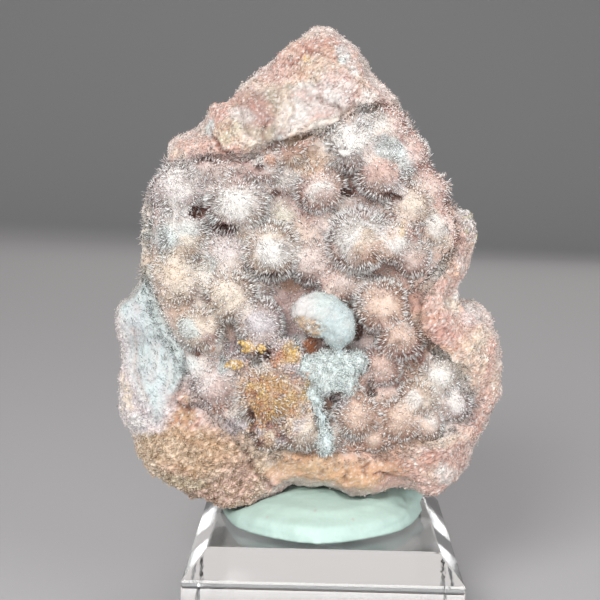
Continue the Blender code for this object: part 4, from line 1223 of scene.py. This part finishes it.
def clear_finish():
    """Clear acrylic with fine upright milling streaks on its sides."""
    made, nodes, links, shader = new_finish("clear_acrylic", {
        "Base Color": (0.97, 0.985, 0.985, 1.0), "Roughness": 0.02, "IOR": 1.49, "Transmission Weight": 1.0})
    place = nodes.new("ShaderNodeTexCoord")
    stretch = set_inputs(nodes.new("ShaderNodeMapping"), {"Scale": STREAKS_PER_METRE})
    streak = set_inputs(nodes.new("ShaderNodeTexNoise"), {"Scale": 1.0, "Detail": 2.0})
    relief = set_inputs(nodes.new("ShaderNodeBump"), {"Strength": 0.25, "Distance": 0.04 * MM})
    links.new(place.outputs["Object"], stretch.inputs["Vector"])
    links.new(stretch.outputs["Vector"], streak.inputs["Vector"])
    links.new(streak.outputs["Fac"], relief.inputs["Height"])
    links.new(relief.outputs["Normal"], shader.inputs["Normal"])
    return made


def make_camera():
    """The photograph's camera."""
    yaw, down, roll = (math.radians(angle) for angle in (CAMERA_YAW, CAMERA_DOWN, CAMERA_ROLL))
    ahead = Vector((-math.sin(yaw) * math.cos(down), math.cos(yaw) * math.cos(down), -math.sin(down)))
    level = Vector((math.cos(yaw), math.sin(yaw), 0.0))
    upright = level.cross(ahead)
    right = math.cos(roll) * level + math.sin(roll) * upright
    up = math.cos(roll) * upright - math.sin(roll) * level
    camera = add_object("camera", bpy.data.cameras.new("camera"))
    turn = Matrix((right, up, -ahead)).transposed().to_4x4()
    camera.matrix_world = Matrix.Translation(Vector(CAMERA_PLACE) * MM) @ turn
    camera.data.sensor_width = SENSOR
    camera.data.lens = FOCAL_PIXELS * SENSOR / PICTURE_PIXELS
    camera.data.clip_start = 0.01
    bpy.context.scene.camera = camera


def soft_light(name, place, size, power, colour):
    """A square softbox that looks at the middle of the specimen."""
    lamp = bpy.data.lights.new(name, "AREA")
    lamp.size = size
    lamp.energy = power
    lamp.color = colour
    made = add_object(name, lamp)
    made.location = Vector(place) * MM
    aim = Vector((0.0, 0.0, AIM_HEIGHT * MM)) - made.location
    made.rotation_mode = "QUATERNION"
    made.rotation_quaternion = aim.to_track_quat("-Z", "Y")


def make_studio():
    """A pale floor that curves up into a backdrop, soft lights and an even pale surround."""
    profile = [(-1.5, 0.0), (0.7, 0.0)]
    turns = np.radians(range(6, 91, 6))
    profile += [(0.7 + 0.5 * math.sin(turn), 0.5 - 0.5 * math.cos(turn)) for turn in turns]
    profile.append((1.2, 2.0))
    corners = [(side * 2.0, y, z - 0.3 * MM) for y, z in profile for side in (-1, 1)]
    faces = [(2 * k, 2 * k + 1, 2 * k + 3, 2 * k + 2) for k in range(len(profile) - 1)]
    mesh = bpy.data.meshes.new("sweep")
    mesh.from_pydata(corners, [], faces)
    mesh.shade_smooth()
    sweep = add_object("sweep", mesh)
    pale, *_ = new_finish("pale_floor", {"Base Color": (0.45, 0.45, 0.46, 1.0), "Roughness": 0.8})
    mesh.materials.append(pale)
    sweep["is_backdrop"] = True
    for light in LIGHTS:
        soft_light(*light)
    world = bpy.data.worlds.new("surround")
    world.use_nodes = True
    set_inputs(world.node_tree.nodes["Background"], {"Color": (1.0, 0.98, 0.97, 1.0), "Strength": 0.3})
    bpy.context.scene.world = world
    bpy.context.scene.view_settings.view_transform = "Standard"


make_camera()
make_studio()

rock_tree = solid_tree(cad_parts["matrix"].data)
crust_tree = solid_tree(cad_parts["crystal_nest"].data)

stone = shader_nodes("sugary_rock", 0.62, bump=0.12, bump_size=0.25, colour_change=0.12)
rock = new_object("rock", rock_mesh(crust_tree), stone)
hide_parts("matrix")
loose = shader_nodes("rock_crystals", 0.38, colour_change=0.08)
for loose_mesh in rock_extras(rock.data, crust_tree):
    new_object(loose_mesh.name, loose_mesh, loose)

new_object("edge_crystals", edge_crystals(rock.data), loose)

under = shader_nodes("crust_under_needles", 0.7, bump=0.15, bump_size=0.3, colour_change=0.2)
core = new_object("crust", core_mesh(rock_tree), under)
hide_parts("crystal_nest")
silky = shader_nodes("gypsum_needles", 0.34, colour_change=0.05)
both_kinds = zip(ball_needles(rock_tree), carpet_needles(core.data, rock_tree))
columns = [np.concatenate(pair) for pair in both_kinds]
for number, first in enumerate(range(0, len(columns[0]), MOST_NEEDLES)):
    part = [column[first:first + MOST_NEEDLES] for column in columns]
    name = f"needles_{number + 1}"
    new_object(name, needle_mesh(name, *part), silky)
sparkle = shader_nodes("crust_crystals", 0.3, colour_change=0.05)
new_object("crust_grains", crust_grains(core.data), sparkle)

smooth = shader_nodes("pale_gypsum", 0.5, bump=0.05, bump_size=0.4, colour_change=0.05, glow=0.4)
lumps = new_object("pale_lumps", lump_mesh(), smooth)
new_object("lump_fur", lump_fur(lumps.data), silky)
new_object("gold_crumbs", crumb_mesh(), sparkle)

waxy = shader_nodes("mounting_putty", 0.55, bump=0.03, bump_size=0.8, colour_change=0.03)
putty = new_object("putty_disc", putty_mesh(), waxy)
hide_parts("putty")

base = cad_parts["base"]
base.data.materials.clear()
base.data.materials.append(clear_finish())

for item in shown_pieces():
    print("PIECE", item.name, sum(len(face.vertices) - 2 for face in item.data.polygons))
